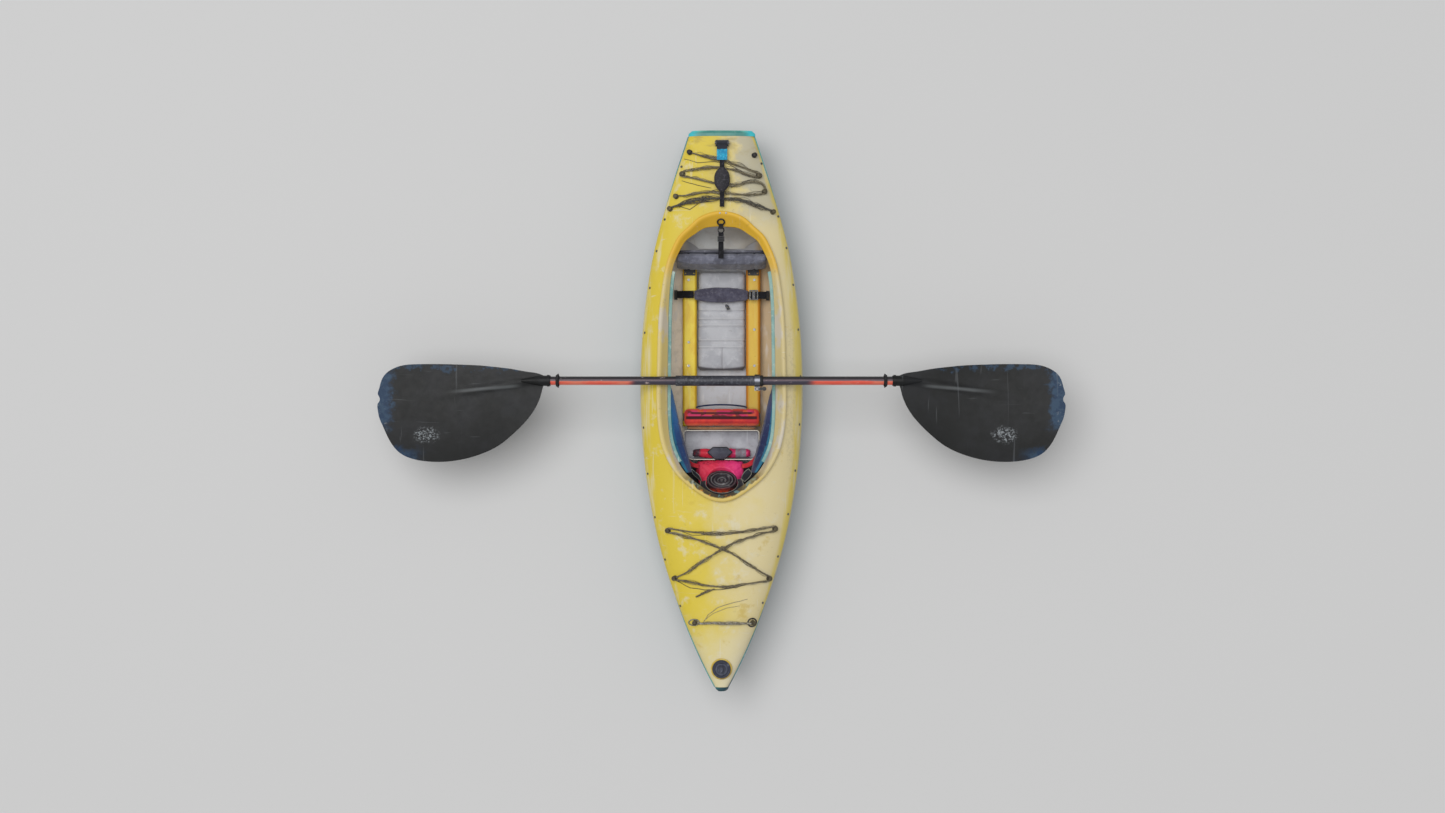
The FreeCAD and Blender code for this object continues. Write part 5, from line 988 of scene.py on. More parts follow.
def seat():
    nx, ny = 64, 150
    cx, hxx = (lo.x + hi.x) / 2, (hi.x - lo.x) / 2
    y0, y1 = lo.y, hi.y
    t = hi.z - lo.z
    top, bot = [], []
    for j in range(ny + 1):
        v = -1 + 2 * j / ny
        for i in range(nx + 1):
            u = -1 + 2 * i / nx
            y = (y0 + y1) / 2 + (y1 - y0) / 2 * v
            # rounded corners, sides drawn in a little at each seam
            corner = (1 - max(0, abs(v) - 0.93) / 0.07 * 0.10)
            draw = 1 - 0.020 * sum(gauss(y - s, 0.006) for s in SEAMS)
            x = cx + hxx * u * corner * draw
            eu = max(0.0, 1 - abs(u) ** 9) ** 0.45
            ev = max(0.0, 1 - abs(v) ** 34) ** 0.45
            e = eu * ev
            d = 0.0
            for s in SEAMS:
                d += 0.0046 * gauss(y - s, 0.0040) + 0.0022 * gauss(y - s, 0.014)
            if y < 0.243:
                d += 0.0040 * gauss(x - 0.003, 0.0035)
            if y > 0.386:
                d += 0.0018 * gauss(x, 0.035)
            nse = noise.noise(Vector((x * 24, y * 24, 1.3))) * 0.0011 + noise.noise(Vector((x * 70, y * 70, 4.0))) * 0.0005
            crown = 0.0022 * (abs(u) ** 2)
            z = lo.z + 0.004 + (t - 0.004) * (0.12 + 0.88 * e) - d * e - crown - 0.0015 + nse * e
            top.append(Vector((x, y, min(z, hi.z + 0.001))))
            bot.append(Vector((x * 0.985, y, lo.z + 0.0005)))
    w = nx + 1
    verts = top + bot
    off = len(top)
    faces = []
    for j in range(ny):
        for i in range(nx):
            a = j * w + i
            faces.append((a, a + 1, a + w + 1, a + w))
            faces.append((off + a, off + a + w, off + a + w + 1, off + a + 1))
    for i in range(nx):
        a = i
        faces.append((a, off + a, off + a + 1, a + 1))
        a = ny * w + i
        faces.append((a, a + 1, off + a + 1, off + a))
    for j in range(ny):
        a = j * w
        faces.append((a, a + w, off + a + w, off + a))
        a = j * w + nx
        faces.append((a, off + a, off + a + w, a + w))
    return mesh_obj("seat_cushion", verts, faces)


def seat_material():
    g = Mat("seat_fabric_grey", spec=0.25, sheen=0.15)
    x, y = g.axis(0), g.axis(1)
    n, m, f = g.noise(9, 4, 0.6), g.noise(34, 4, 0.65), g.noise(120, 3, 0.6)
    k = math.pi / 0.0018 / 20
    w = g.math("MULTIPLY", g.wave(k, "X"), g.wave(k, "Y"))
    c = g.mix(g.band(n, 0.4, 0.62), rgb(188, 189, 194), rgb(170, 171, 177))
    c = g.mix(g.mul(g.band(m, 0.52, 0.66), 0.45), c, rgb(208, 209, 213))
    c = g.mix(g.mul(g.band(g.noise(20, 5, 0.7, shift=(5, 5, 5)), 0.60, 0.70), 0.35), c, rgb(112, 106, 104))
    # each sewn channel: a darker line in the groove, painted shade, and a lighter line beside it, painted highlight
    for s in SEAMS:
        line = g.band(g.math("ABSOLUTE", g.math("SUBTRACT", g.math("ADD", y, g.math("MULTIPLY", g.math("SUBTRACT", m, 0.5), 0.004)), s)), 0.0035, 0.0012)
        c = g.mix(g.mul(line, 0.30), c, rgb(140, 138, 142))
        seam_highlight = g.band(g.math("ABSOLUTE", g.math("SUBTRACT", g.math("SUBTRACT", y, 0.0055), s)), 0.0042, 0.0010)
        c = g.mix(g.mul(seam_highlight, 0.55), c, rgb(214, 215, 218))
    # the centre seam: a darker line, painted shade
    centre_seam_shade = g.mul(g.band(g.math("ABSOLUTE", g.math("SUBTRACT", x, 0.003)), 0.0032, 0.0010), g.band(y, 0.245, 0.240))
    c = g.mix(g.mul(centre_seam_shade, 0.45), c, rgb(128, 126, 130))
    # dark line along the front edge: painted shadow under the pad's front edge
    front_edge_shadow = g.math("ADD", y, g.math("MULTIPLY", g.math("MULTIPLY", x, x), -1.2))
    c = g.mix(g.mul(g.band(front_edge_shadow, 0.166, 0.158), 0.8), c, rgb(58, 56, 62))
    c = g.mix(g.mul(w, 0.22), c, rgb(120, 121, 128))
    g.colour(c)
    g.rough(f, 0.6, 0.85)
    g.bump(g.math("ADD", w, g.math("MULTIPLY", f, 1.5)), 0.0005, 0.6)
    return g.m


pad = fabric(seat(), seat_material(), "kayak", "seat_pad")


def stitches(name, pts, body, m, step=0.007, size=0.0016, lift=0.0006, length=0.0042):
    """Short raised stitches along a line of points."""
    verts, faces = [], []
    acc = 0.0
    for a, b in zip(pts[:-1], pts[1:]):
        a, b = Vector(a), Vector(b)
        d = b - a
        L = d.length
        t = d.normalized()
        s = t.cross(Vector((0, 0, 1)))
        if s.length < 1e-4:
            s = t.cross(Vector((1, 0, 0)))
        s.normalize()
        u = s.cross(t).normalized()
        if u.z < 0:
            u = -u
        pos = acc
        while pos < L:
            c = a + t * pos + u * lift
            k = len(verts)
            for dt, hh in ((-0.5, 0.15), (0, 1), (0.5, 0.15)):
                for ds in (-0.5, 0.5):
                    verts.append(c + t * dt * length + s * ds * size + u * hh * 0.0006)
                    verts.append(c + t * dt * length + s * ds * size - u * 0.0006)
            faces += [(k, k + 4, k + 6, k + 2), (k + 4, k + 8, k + 10, k + 6), (k, k + 1, k + 5, k + 4), (k + 4, k + 5, k + 9, k + 8),
                      (k + 2, k + 6, k + 7, k + 3), (k + 6, k + 10, k + 11, k + 7), (k, k + 2, k + 3, k + 1), (k + 8, k + 9, k + 11, k + 10),
                      (k + 1, k + 3, k + 7, k + 5), (k + 5, k + 7, k + 11, k + 9)]
            pos += step
        acc = pos - L
    o = mesh_obj(name, verts, faces)
    o.data.materials.append(m)
    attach(o, body)
    return o


# backrest pad: padded plank on the board
bp = copy_node("backrest_pad", "backrest_cushion")
bl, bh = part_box("backrest_pad")
remesh(bp, 0.005, 5)
puff(bp, 0.006, 4.0, 18, 0.002)
inside(bp, bl - Vector((0.003, 0.003, 0.002)), bh + Vector((0.003, 0.003, 0.004)))
push(bp, lambda p, n: -0.0035 * (gauss(abs(p.x) - 0.060, 0.004) + gauss(abs(p.x) - 0.125, 0.004)) + 0.0012 * noise.noise(p * 30) + 0.0006 * noise.noise(p * 80))


def backrest_material():
    g = Mat("backrest_cloth", spec=0.2, sheen=0.3)
    n, m, f = g.noise(14, 4, 0.62), g.noise(50, 4, 0.65), g.noise(150, 3)
    k = math.pi / 0.0018 / 20
    w = g.math("MULTIPLY", g.wave(k, "X"), g.wave(k, "Z"))
    c = g.mix(g.band(n, 0.4, 0.62), rgb(114, 116, 130), rgb(92, 94, 107))
    c = g.mix(g.mul(g.band(m, 0.5, 0.66), 0.5), c, rgb(144, 146, 160))
    c = g.mix(g.mul(g.band(g.axis(0), -0.150, -0.172), 0.6), c, rgb(158, 158, 168))
    c = g.mix(g.mul(scratches(g, 1.2), 0.35), c, rgb(136, 134, 142))
    c = g.mix(g.mul(w, 0.3), c, rgb(36, 36, 46))
    g.colour(c)
    g.rough(f, 0.6, 0.85)
    g.bump(g.math("ADD", w, f), 0.0005, 0.7)
    return g.m


fabric(bp, backrest_material(), "backrest", "backrest_pad")

# lap band pad: a spindle of woven foam
lb = copy_node("band_pad", "band_cushion")
ll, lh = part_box("band_pad")
remesh(lb, 0.003, 4)
lcy, lcx = (ll.y + lh.y) / 2, (ll.x + lh.x) / 2
inside(lb, ll - Vector((0.001, 0.001, 0.001)), lh + Vector((0.001, 0.001, 0.001)))
push(lb, lambda p, n: 0.0008 * noise.noise(p * 40) + 0.0005 * noise.noise(p * 110) - 0.0016 * gauss(abs((p.y - lcy) / max(1e-3, (lh.y - ll.y) / 2)) - 0.72 * (1 - ((p.x - lcx) / 0.12) ** 2), 0.07))


def band_material():
    g = Mat("band_cloth", spec=0.2, sheen=0.4)
    n, m, f = g.noise(26, 4, 0.62), g.noise(80, 4, 0.65), g.noise(200, 3)
    k = math.pi / 0.0020 / 20
    w = g.math("MULTIPLY", g.wave(k, "X"), g.wave(k, "Y"))
    c = g.mix(g.band(n, 0.4, 0.62), rgb(88, 87, 104), rgb(70, 68, 84))
    c = g.mix(g.mul(g.band(m, 0.5, 0.68), 0.55), c, rgb(112, 110, 122))
    c = g.mix(g.mul(w, 0.45), c, rgb(30, 29, 40))
    g.colour(c)
    g.rough(f, 0.7, 0.95)
    g.bump(g.math("ADD", w, f), 0.0006, 0.8)
    return g.m


fabric(lb, band_material(), "lap_strap", "band_pad")

# lap webbing: cloth strap whose outer ends stay on the anchors
wl_, wh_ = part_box("band_webbing")
for sgn, nm in ((-1, "left"), (1, "right")):
    bw = copy_node("band_webbing", "band_strap_" + nm)
    bm = bmesh.new()
    bm.from_mesh(bw.data)
    res = bmesh.ops.bisect_plane(bm, geom=bm.verts[:] + bm.edges[:] + bm.faces[:], plane_co=((wl_.x + wh_.x) / 2, 0, 0), plane_no=(-sgn, 0, 0), clear_outer=True)
    cut = [e for e in res["geom_cut"] if isinstance(e, bmesh.types.BMEdge)]
    if cut:
        bmesh.ops.contextual_create(bm, geom=cut)
    bm.to_mesh(bw.data)
    bm.free()
    densify(bw.data, 0.006)
    for p in bw.data.polygons:
        p.use_smooth = False
    push(bw, lambda p, n: 0.0003 * noise.noise(p * 90))
    fabric(bw, M["web"], None, "band_webbing")
    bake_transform(bw)

# backrest strap: a finer copy of the CAD strap, from the backrest to the hull
bs = copy_node("backrest_strap", "backrest_tether")
densify(bs.data, 0.008)
push(bs, lambda p, n: 0.0003 * noise.noise(p * 90))
bs.data.materials.append(M["web"])
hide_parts("backrest_strap")

# foot brace pad: a stuffed pouch with patches
fp = copy_node("footrest_pad", "brace_cushion")
fl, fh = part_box("footrest_pad")
remesh(fp, 0.004, 5)
puff(fp, 0.005, 4.0, 18, 0.0015)
inside(fp, fl - Vector((0.003, 0.002, 0.0)), fh + Vector((0.003, 0.002, 0.004)))
fcy = (fl.y + fh.y) / 2


def brace_shape(p, n):
    up = max(0.0, n.z)
    d = 0.0012 * noise.noise(p * 34) + 0.0008 * noise.noise(p * 95)
    d -= up * 0.0075 * gauss(p.y + 0.028, 0.0035) * (1 if abs(p.x) < 0.128 else 0)   # long slit
    d -= up * 0.0050 * gauss(p.y - (fh.y - 0.018), 0.0045) * (1 if abs(p.x) < 0.115 else 0)
    d += up * 0.0030 * gauss(p.y + 0.040, 0.006)
    for xx in (-0.082, -0.030, 0.040, 0.094):
        d -= 0.0022 * gauss(p.x - xx, 0.004)
    return d


push(fp, brace_shape)


def brace_material():
    g = Mat("brace_cloth", spec=0.25, sheen=0.2)
    x, y = g.axis(0), g.axis(1)
    n, m, f = g.noise(26, 4, 0.62), g.noise(60, 4, 0.65), g.noise(170, 3)
    cell = g.t.nodes.new("ShaderNodeTexVoronoi")
    cell.inputs["Scale"].default_value = 34
    mp = g.t.nodes.new("ShaderNodeMapping")
    mp.inputs["Scale"].default_value = (1, 1.6, 1)
    g.t.links.new(g.co, mp.inputs[0])
    g.t.links.new(mp.outputs[0], cell.inputs["Vector"])
    sep = g.t.nodes.new("ShaderNodeSeparateColor")
    g.t.links.new(cell.outputs["Color"], sep.inputs[0])
    c = g.mix(g.band(n, 0.4, 0.6), rgb(222, 66, 54), rgb(196, 50, 56))
    pouch = g.mul(g.band(y, -0.027, -0.020), g.band(g.math("ABSOLUTE", x), 0.136, 0.126))
    patch = g.mix(g.band(sep.outputs[0], 0.3, 0.34), rgb(176, 40, 78), rgb(212, 56, 110))
    patch = g.mix(g.band(sep.outputs[1], 0.66, 0.7), patch, rgb(216, 92, 62))
    patch = g.mix(g.band(sep.outputs[2], 0.74, 0.78), patch, rgb(104, 40, 52))
    c = g.mix(g.mul(pouch, 0.85), c, patch)
    # dark slit: painted shade in the opening
    slit = g.mul(g.band(g.math("ABSOLUTE", g.math("ADD", y, 0.028)), 0.0075, 0.0040), g.band(g.math("ABSOLUTE", x), 0.142, 0.134))
    c = g.mix(g.mul(slit, 0.95), c, rgb(36, 20, 26))
    back = g.mul(g.band(g.math("ABSOLUTE", g.math("SUBTRACT", y, fh.y - 0.018)), 0.0055, 0.003), g.band(g.math("ABSOLUTE", x), 0.126, 0.112))
    c = g.mix(g.mul(back, 0.9), c, rgb(46, 26, 32))
    rim = g.math("MAXIMUM", g.band(g.math("ABSOLUTE", x), 0.134, 0.141), g.band(y, fh.y - 0.011, fh.y - 0.005))
    c = g.mix(g.mul(rim, 0.9), c, rgb(232, 70, 38))
    hem = g.band(y, -0.048, -0.054)
    c = g.mix(g.mul(hem, 0.7), c, rgb(232, 112, 72))
    k = math.pi / 0.0016 / 20
    w = g.math("MULTIPLY", g.wave(k, "X"), g.wave(k, "Y"))
    c = g.mix(g.mul(w, 0.2), c, rgb(90, 22, 26))
    g.colour(c)
    g.rough(f, 0.5, 0.8)
    g.bump(g.math("ADD", w, g.math("MULTIPLY", f, 1.5)), 0.0005, 0.7)
    return g.m


fabric(fp, brace_material(), "foot_brace", "footrest_pad")

# thigh pads: thick foam with a cloth face
tp = copy_node("thigh_pads", "thigh_cushions")
tl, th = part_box("thigh_pads")
remesh(tp, 0.004, 4)
inside(tp, tl, th)
push(tp, lambda p, n: 0.0010 * noise.noise(p * 26) + 0.0005 * noise.noise(p * 90) - 0.0024 * (gauss(p.y + 0.05, 0.004) + gauss(p.y + 0.13, 0.004)))


def thigh_material():
    g = Mat("thigh_foam_blue", spec=0.25, sheen=0.2)
    x, y, z = g.axis(0), g.axis(1), g.axis(2)
    n, m, f = g.noise(16, 4, 0.62), g.noise(60, 4, 0.65), g.noise(190, 3)
    yy = g.math("ADD", y, g.math("MULTIPLY", g.math("SUBTRACT", n, 0.5), 0.12))
    # left pad painted bright blue, right pad dark navy: painted light and shade on two like pads
    left = g.mix(g.band(yy, -0.13, 0.0), rgb(28, 72, 134), rgb(26, 124, 200))
    right = g.mix(g.band(yy, -0.10, 0.04), rgb(26, 40, 86), rgb(36, 56, 112))
    c = g.mix(g.band(x, -0.02, 0.02), left, right)
    # lighter top edge: painted highlight
    c = g.mix(g.mul(g.band(z, th.z - 0.012, th.z - 0.004), 0.6), c, rgb(64, 150, 178))
    c = g.mix(g.mul(g.band(m, 0.56, 0.68), 0.4), c, rgb(90, 130, 164))
    k = math.pi / 0.0020 / 20
    w = g.math("MULTIPLY", g.wave(k, "Y"), g.wave(k, "Z"))
    c = g.mix(g.mul(w, 0.25), c, rgb(16, 26, 52))
    g.colour(c)
    g.rough(f, 0.65, 0.9)
    g.bump(g.math("ADD", w, f), 0.0006, 0.7)
    return g.m


fabric(tp, thigh_material(), "kayak", "thigh_pads")

# float bag: a filled bag that sags and creases toward its valve
fb = copy_node("float_bag", "bag_shell")
gl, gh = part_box("float_bag")
remesh(fb, 0.004, 4)
puff(fb, 0.003, 4.0, 16, 0.001)
inside(fb, gl - Vector((0.002, 0.002, 0.0)), gh + Vector((0.002, 0.002, 0.002)))


def bag_shape(p, n):
    dv = p - vc
    r = (dv - Vector(VAX) * dv.dot(Vector(VAX))).length
    if r < 0.062:
        return 0.0
    k = min(1.0, (r - 0.062) / 0.012)
    a = math.atan2(p.x - vc.x, -(p.y - vc.y))
    crease = abs(math.sin(a * 9 + 2.2 * noise.noise(p * 22)))
    d = -0.0030 * (1 - crease) ** 3
    d += 0.0018 * noise.noise(p * 30) + 0.0010 * noise.noise(p * 75)
    return d * k


push(fb, bag_shape)


def bag_material():
    g = Mat("bag_cloth", spec=0.35, coat=0.1)
    x, y = g.axis(0), g.axis(1)
    n, m, f = g.noise(18, 4, 0.62), g.noise(60, 4, 0.65), g.noise(190, 3)
    c = g.mix(g.band(g.math("ADD", x, g.math("MULTIPLY", g.math("SUBTRACT", n, 0.5), 0.10)), -0.03, 0.05), rgb(226, 54, 84), rgb(240, 62, 132))
    c = g.mix(g.mul(g.band(m, 0.54, 0.68), 0.4), c, rgb(214, 84, 116))
    edge = g.math("ABSOLUTE", x)
    c = g.mix(g.mul(g.band(edge, 0.078, 0.096), 0.6), c, rgb(120, 24, 44))
    dk = g.band(g.noise(26, 4, 0.65, shift=(8, 1, 3)), 0.57, 0.66)
    c = g.mix(g.mul(g.mul(dk, g.band(x, 0.03, -0.05)), 0.45), c, rgb(52, 22, 34))
    roll = g.band(g.axis(1), -0.192, -0.188)
    rc = g.mix(g.band(g.math("ADD", x, g.math("MULTIPLY", g.math("SUBTRACT", m, 0.5), 0.02)), -0.088, -0.078), rgb(70, 52, 62), rgb(214, 44, 66))
    rc = g.mix(g.band(x, 0.034, 0.040), rc, rgb(212, 46, 104))
    rc = g.mix(g.mul(g.band(x, 0.052, 0.056), g.band(x, 0.098, 0.092)), rc, rgb(134, 128, 138))
    rc = g.mix(g.mul(g.band(m, 0.52, 0.64), 0.5), rc, rgb(150, 30, 54))
    c = g.mix(roll, c, rc)
    k = math.pi / 0.0016 / 20
    w = g.math("MULTIPLY", g.wave(k, "X"), g.wave(k, "Y"))
    c = g.mix(g.mul(w, 0.2), c, rgb(96, 14, 36))
    g.colour(c)
    g.rough(m, 0.35, 0.65)
    g.bump(g.math("ADD", w, g.math("MULTIPLY", m, 1.5)), 0.0005, 0.6)
    return g.m


fabric(fb, bag_material(), "kayak", "float_bag")

# ---------------------------------------------------------------- things that lie on the deck
from mathutils.bvhtree import BVHTree


def tree(*nodes):
    verts, polys = [], []
    for n in nodes:
        me = N[n].data
        k = len(verts)
        verts += [v.co.copy() for v in me.vertices]
        polys += [tuple(k + i for i in p.vertices) for p in me.polygons]
    return BVHTree.FromPolygons(verts, polys)


DECK = tree("deck_shell")


def deck_at(x, y):
    hit = DECK.ray_cast(Vector((x, y, 0.6)), Vector((0, 0, -1)))
    return (hit[0], hit[1] if hit[1].z > 0 else -hit[1]) if hit[0] is not None else None


def strand(name, pts, r, m, sides=5, taper=True):
    """A thin fibre or loose strand along points."""
    n = len(pts)
    return sweep(name, pts, r, sides, False, (lambda t: r * (0.35 + 0.65 * math.sin(math.pi * min(max(t, 0.02), 0.98)) ** 0.5)) if taper else None)


def fray(name, line, seed, m, count=26, reach=0.0075, r=0.0007, lift=0.002):
    """Loose fibres of the worn sheath that leave the cord and come back, in one mesh."""
    rr = random.Random(seed)
    verts, faces = [], []
    L = [0.0]
    for a, b in zip(line[:-1], line[1:]):
        L.append(L[-1] + (b - a).length)
    total = L[-1]

    def at(d):
        d = min(max(d, 0.0), total)
        for i in range(len(L) - 1):
            if L[i + 1] >= d:
                t = (d - L[i]) / max(1e-9, L[i + 1] - L[i])
                return line[i].lerp(line[i + 1], t), (line[i + 1] - line[i]).normalized()
        return line[-1], (line[-1] - line[-2]).normalized()
    for q in range(count):
        ln = rr.uniform(0.035, 0.11)
        s0 = rr.uniform(0, max(0.001, total - ln))
        off = rr.uniform(-1, 1) * reach
        ph = rr.uniform(0, 6)
        steps = 12
        prev = None
        rad = r * rr.uniform(0.6, 1.35)
        base = len(verts)
        for i in range(steps + 1):
            t = i / steps
            p, d = at(s0 + ln * t)
            side = d.cross(Vector((0, 0, 1))).normalized()
            e = math.sin(math.pi * t)
            p = p + side * (off * e + 0.0016 * math.sin(ph + 9 * t) * e) + Vector((0, 0, 1)) * (0.0018 * e * rr.uniform(0.7, 1.2))
            hit = deck_at(p.x, p.y)
            if hit is not None and p.z < hit[0].z + 0.0012:
                p.z = hit[0].z + 0.0012
            u = side
            w = d.cross(u).normalized()
            for k in range(4):
                an = math.pi / 2 * k
                verts.append(p + (u * math.cos(an) + w * math.sin(an)) * rad)
        for i in range(steps):
            for k in range(4):
                a = base + i * 4 + k
                b = base + i * 4 + (k + 1) % 4
                faces.append((a, b, b + 4, a + 4))
        faces.append((base + 3, base + 2, base + 1, base))
        e4 = base + steps * 4
        faces.append((e4, e4 + 1, e4 + 2, e4 + 3))
    o = mesh_obj(name, verts, faces)
    o.data.materials.append(m)
    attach(o, "kayak")
    return o


M["fibre"] = cord_material("loose_fibre", rgb(88, 78, 62), rgb(60, 52, 44), rgb(190, 182, 160))
M["palefibre"] = cord_material("pale_fibre", rgb(158, 150, 130), rgb(120, 112, 96), rgb(206, 202, 188))
extras = {k: [] for k in cords}
LINES = {k: centre_line(o) for k, o in cords.items()}
extras["bow_bungee"].append(fray("bow_bungee_fray", LINES["bow_bungee"], 11, M["fibre"], 110, 0.0085))
extras["bow_bungee"].append(fray("bow_bungee_pale", LINES["bow_bungee"], 12, M["palefibre"], 46, 0.0065, 0.0008))
extras["stern_bungee"].append(fray("stern_bungee_fray", LINES["stern_bungee"], 13, M["fibre"], 110, 0.0105))
extras["stern_bungee"].append(fray("stern_bungee_pale", LINES["stern_bungee"], 14, M["palefibre"], 40, 0.008, 0.0008))
extras["stern_arc_cord"].append(fray("stern_arc_fray", LINES["stern_arc_cord"], 15, M["fibre"], 60, 0.012, 0.0009))
extras["bow_bungee_tail"].append(fray("bow_tail_fray", LINES["bow_bungee_tail"], 16, M["fibre"], 10, 0.005))
extras["bow_rope"].append(fray("bow_rope_fray", LINES["bow_rope"], 17, M["palefibre"], 36, 0.006, 0.0008))


def twisted(name, line, rad, r, turns_per_m, m, k=3):
    """The laid strands of a rope round its own centre line."""
    out = []
    for s in range(k):
        pts = []
        d = 0.0
        prev = line[0]
        for i, p in enumerate(line):
            d += (p - prev).length
            prev = p
            t = (line[min(i + 1, len(line) - 1)] - line[max(i - 1, 0)]).normalized()
            u = t.cross(Vector((0, 0, 1))).normalized()
            w = t.cross(u).normalized()
            a = 2 * math.pi * (d * turns_per_m + s / k)
            pts.append(p + (u * math.cos(a) + w * math.sin(a)) * rad)
        o = sweep("%s_%d" % (name, s), pts, r, 7)
        o.data.materials.append(m[s % len(m)])
        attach(o, "kayak")
        out.append(o)
    return out


def fine(line, step=0.0015):
    out = [line[0]]
    for a, b in zip(line[:-1], line[1:]):
        n = max(1, int(math.ceil((b - a).length / step)))
        for i in range(1, n + 1):
            out.append(a.lerp(b, i / n))
    return out


extras["bow_rope"] += twisted("rope_strand", fine(LINES["bow_rope"]), 0.0021, 0.0022, 38, [M["rope"], M["palefibre"], M["cord"]])


def ring_on_deck(name, cx, cy, rx, ry, r, m, lift=0.0045, rot=0.0, n=40):
    pts = []
    for i in range(n):
        a = 2 * math.pi * i / n
        x = cx + rx * math.cos(a) * math.cos(rot) - ry * math.sin(a) * math.sin(rot)
        y = cy + rx * math.cos(a) * math.sin(rot) + ry * math.sin(a) * math.cos(rot)
        h = deck_at(x, y)
        z = h[0].z if h is not None else 0.24
        pts.append(Vector((x, y, z + lift)))
    o = sweep(name, pts, r, 8, True)
    o.data.materials.append(m)
    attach(o, "kayak")
    return o


extras["bow_rope"].append(ring_on_deck("rope_ring", 0.116, -0.801, 0.0165, 0.0155, 0.0026, M["black"], 0.0034))
extras["bow_rope"].append(ring_on_deck("rope_loop", -0.104, -0.800, 0.0200, 0.0115, 0.0022, M["rope"], 0.0030, 0.1))


def knot(name, centre, r, size, m, seed=1):
    """A small overhand knot: a trefoil pulled tight."""
    pts = []
    c = Vector(centre)
    for i in range(60):
        a = 2 * math.pi * i / 60
        pts.append(c + Vector(((math.sin(a) + 2 * math.sin(2 * a)) * size / 3, (math.cos(a) - 2 * math.cos(2 * a)) * size / 3, -math.sin(3 * a) * size / 2.6)))
    o = sweep(name, pts, r, 8, True)
    o.data.materials.append(m)
    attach(o, "kayak")
    return o


kz = max(p.z for p in LINES["bow_bungee"] if abs(p.x - 0.006) < 0.03 and abs(p.y + 0.517) < 0.03)
extras["bow_bungee"].append(knot("bow_knot", (0.006, -0.517, kz - 0.0005), 0.0021, 0.0085, M["cord"]))
az = max(p.z for p in LINES["stern_arc_cord"] if abs(p.x + 0.07) < 0.03)
extras["stern_arc_cord"].append(knot("arc_knot", (-0.066, 0.7995, az + 0.001), 0.0024, 0.0095, M["arc"]))


def loose_line(name, pts, r, m, owner, lift=None):
    """A stray strand that lies on the deck."""
    out = []
    for i in range(len(pts) - 1):
        a, b = Vector((*pts[i], 0)), Vector((*pts[i + 1], 0))
        n = max(2, int((b - a).length / 0.006))
        for k in range(n if i < len(pts) - 2 else n + 1):
            p = a.lerp(b, k / n)
            h = deck_at(p.x, p.y)
            if h is not None:
                out.append(Vector((p.x + 0.0012 * noise.noise(p * 60), p.y + 0.0012 * noise.noise(p * 50), h[0].z + (lift or r + 0.0003))))
    o = sweep(name, out, r, 6, False, lambda t: r * (0.5 + 0.5 * math.sin(math.pi * min(max(t, 0.05), 0.95)) ** 0.4))
    o.data.materials.append(m)
    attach(o, "kayak")
    extras[owner].append(o)


loose_line("pale_strand_a", [(-0.074, -0.806), (-0.050, -0.770), (-0.014, -0.742), (0.036, -0.726), (0.098, -0.712)], 0.0012, M["palefibre"], "bow_rope")
loose_line("pale_strand_b", [(-0.066, -0.792), (-0.030, -0.764), (0.020, -0.744), (0.070, -0.736)], 0.0009, M["palefibre"], "bow_rope")
loose_line("dark_strand_a", [(-0.142, 0.955), (-0.090, 0.938), (-0.030, 0.942), (0.020, 0.936), (0.078, 0.905), (0.128, 0.880)], 0.0012, M["fibre"], "stern_bungee")
loose_line("dark_strand_b", [(-0.150, 0.870), (-0.090, 0.852), (-0.040, 0.842)], 0.0012, M["fibre"], "stern_bungee")
loose_line("dark_strand_c", [(-0.165, 0.775), (-0.120, 0.760), (-0.085, 0.785), (-0.040, 0.790)], 0.0013, M["fibre"], "stern_arc_cord")
loose_line("dark_strand_d", [(0.035, 0.842), (0.088, 0.868), (0.132, 0.876)], 0.0011, M["fibre"], "stern_bungee")
loose_line("dark_strand_e", [(-0.175, -0.642), (-0.120, -0.668), (-0.060, -0.676), (0.010, -0.674), (0.070, -0.662), (0.120, -0.650)], 0.0013, M["fibre"], "bow_bungee")
loose_line("dark_strand_f", [(-0.160, -0.452), (-0.110, -0.470), (-0.060, -0.468), (0.000, -0.470), (0.060, -0.462), (0.120, -0.452)], 0.0012, M["fibre"], "bow_bungee")

# ---------------------------------------------------------------- small soft pieces in the cockpit
M["petal"] = woven("petal_cloth", rgb(44, 46, 54), rgb(30, 31, 38), rgb(92, 96, 108), 0.0018)
M["flap"] = woven("flap_cloth", rgb(86, 87, 98), rgb(64, 65, 76), rgb(132, 134, 146), 0.0018)
M["paleedge"] = woven("pale_binding", rgb(176, 172, 152), rgb(132, 140, 140), rgb(214, 210, 196), 0.0014)
M["tan"] = woven("tan_webbing", rgb(160, 118, 84), rgb(118, 84, 62), rgb(200, 168, 132), 0.0018)
M["navy"] = woven("navy_binding", rgb(40, 50, 82), rgb(28, 34, 58), rgb(84, 96, 128), 0.0018)
M["redstrap"] = woven("red_webbing", rgb(206, 48, 56), rgb(168, 34, 54), rgb(230, 108, 108), 0.0018)


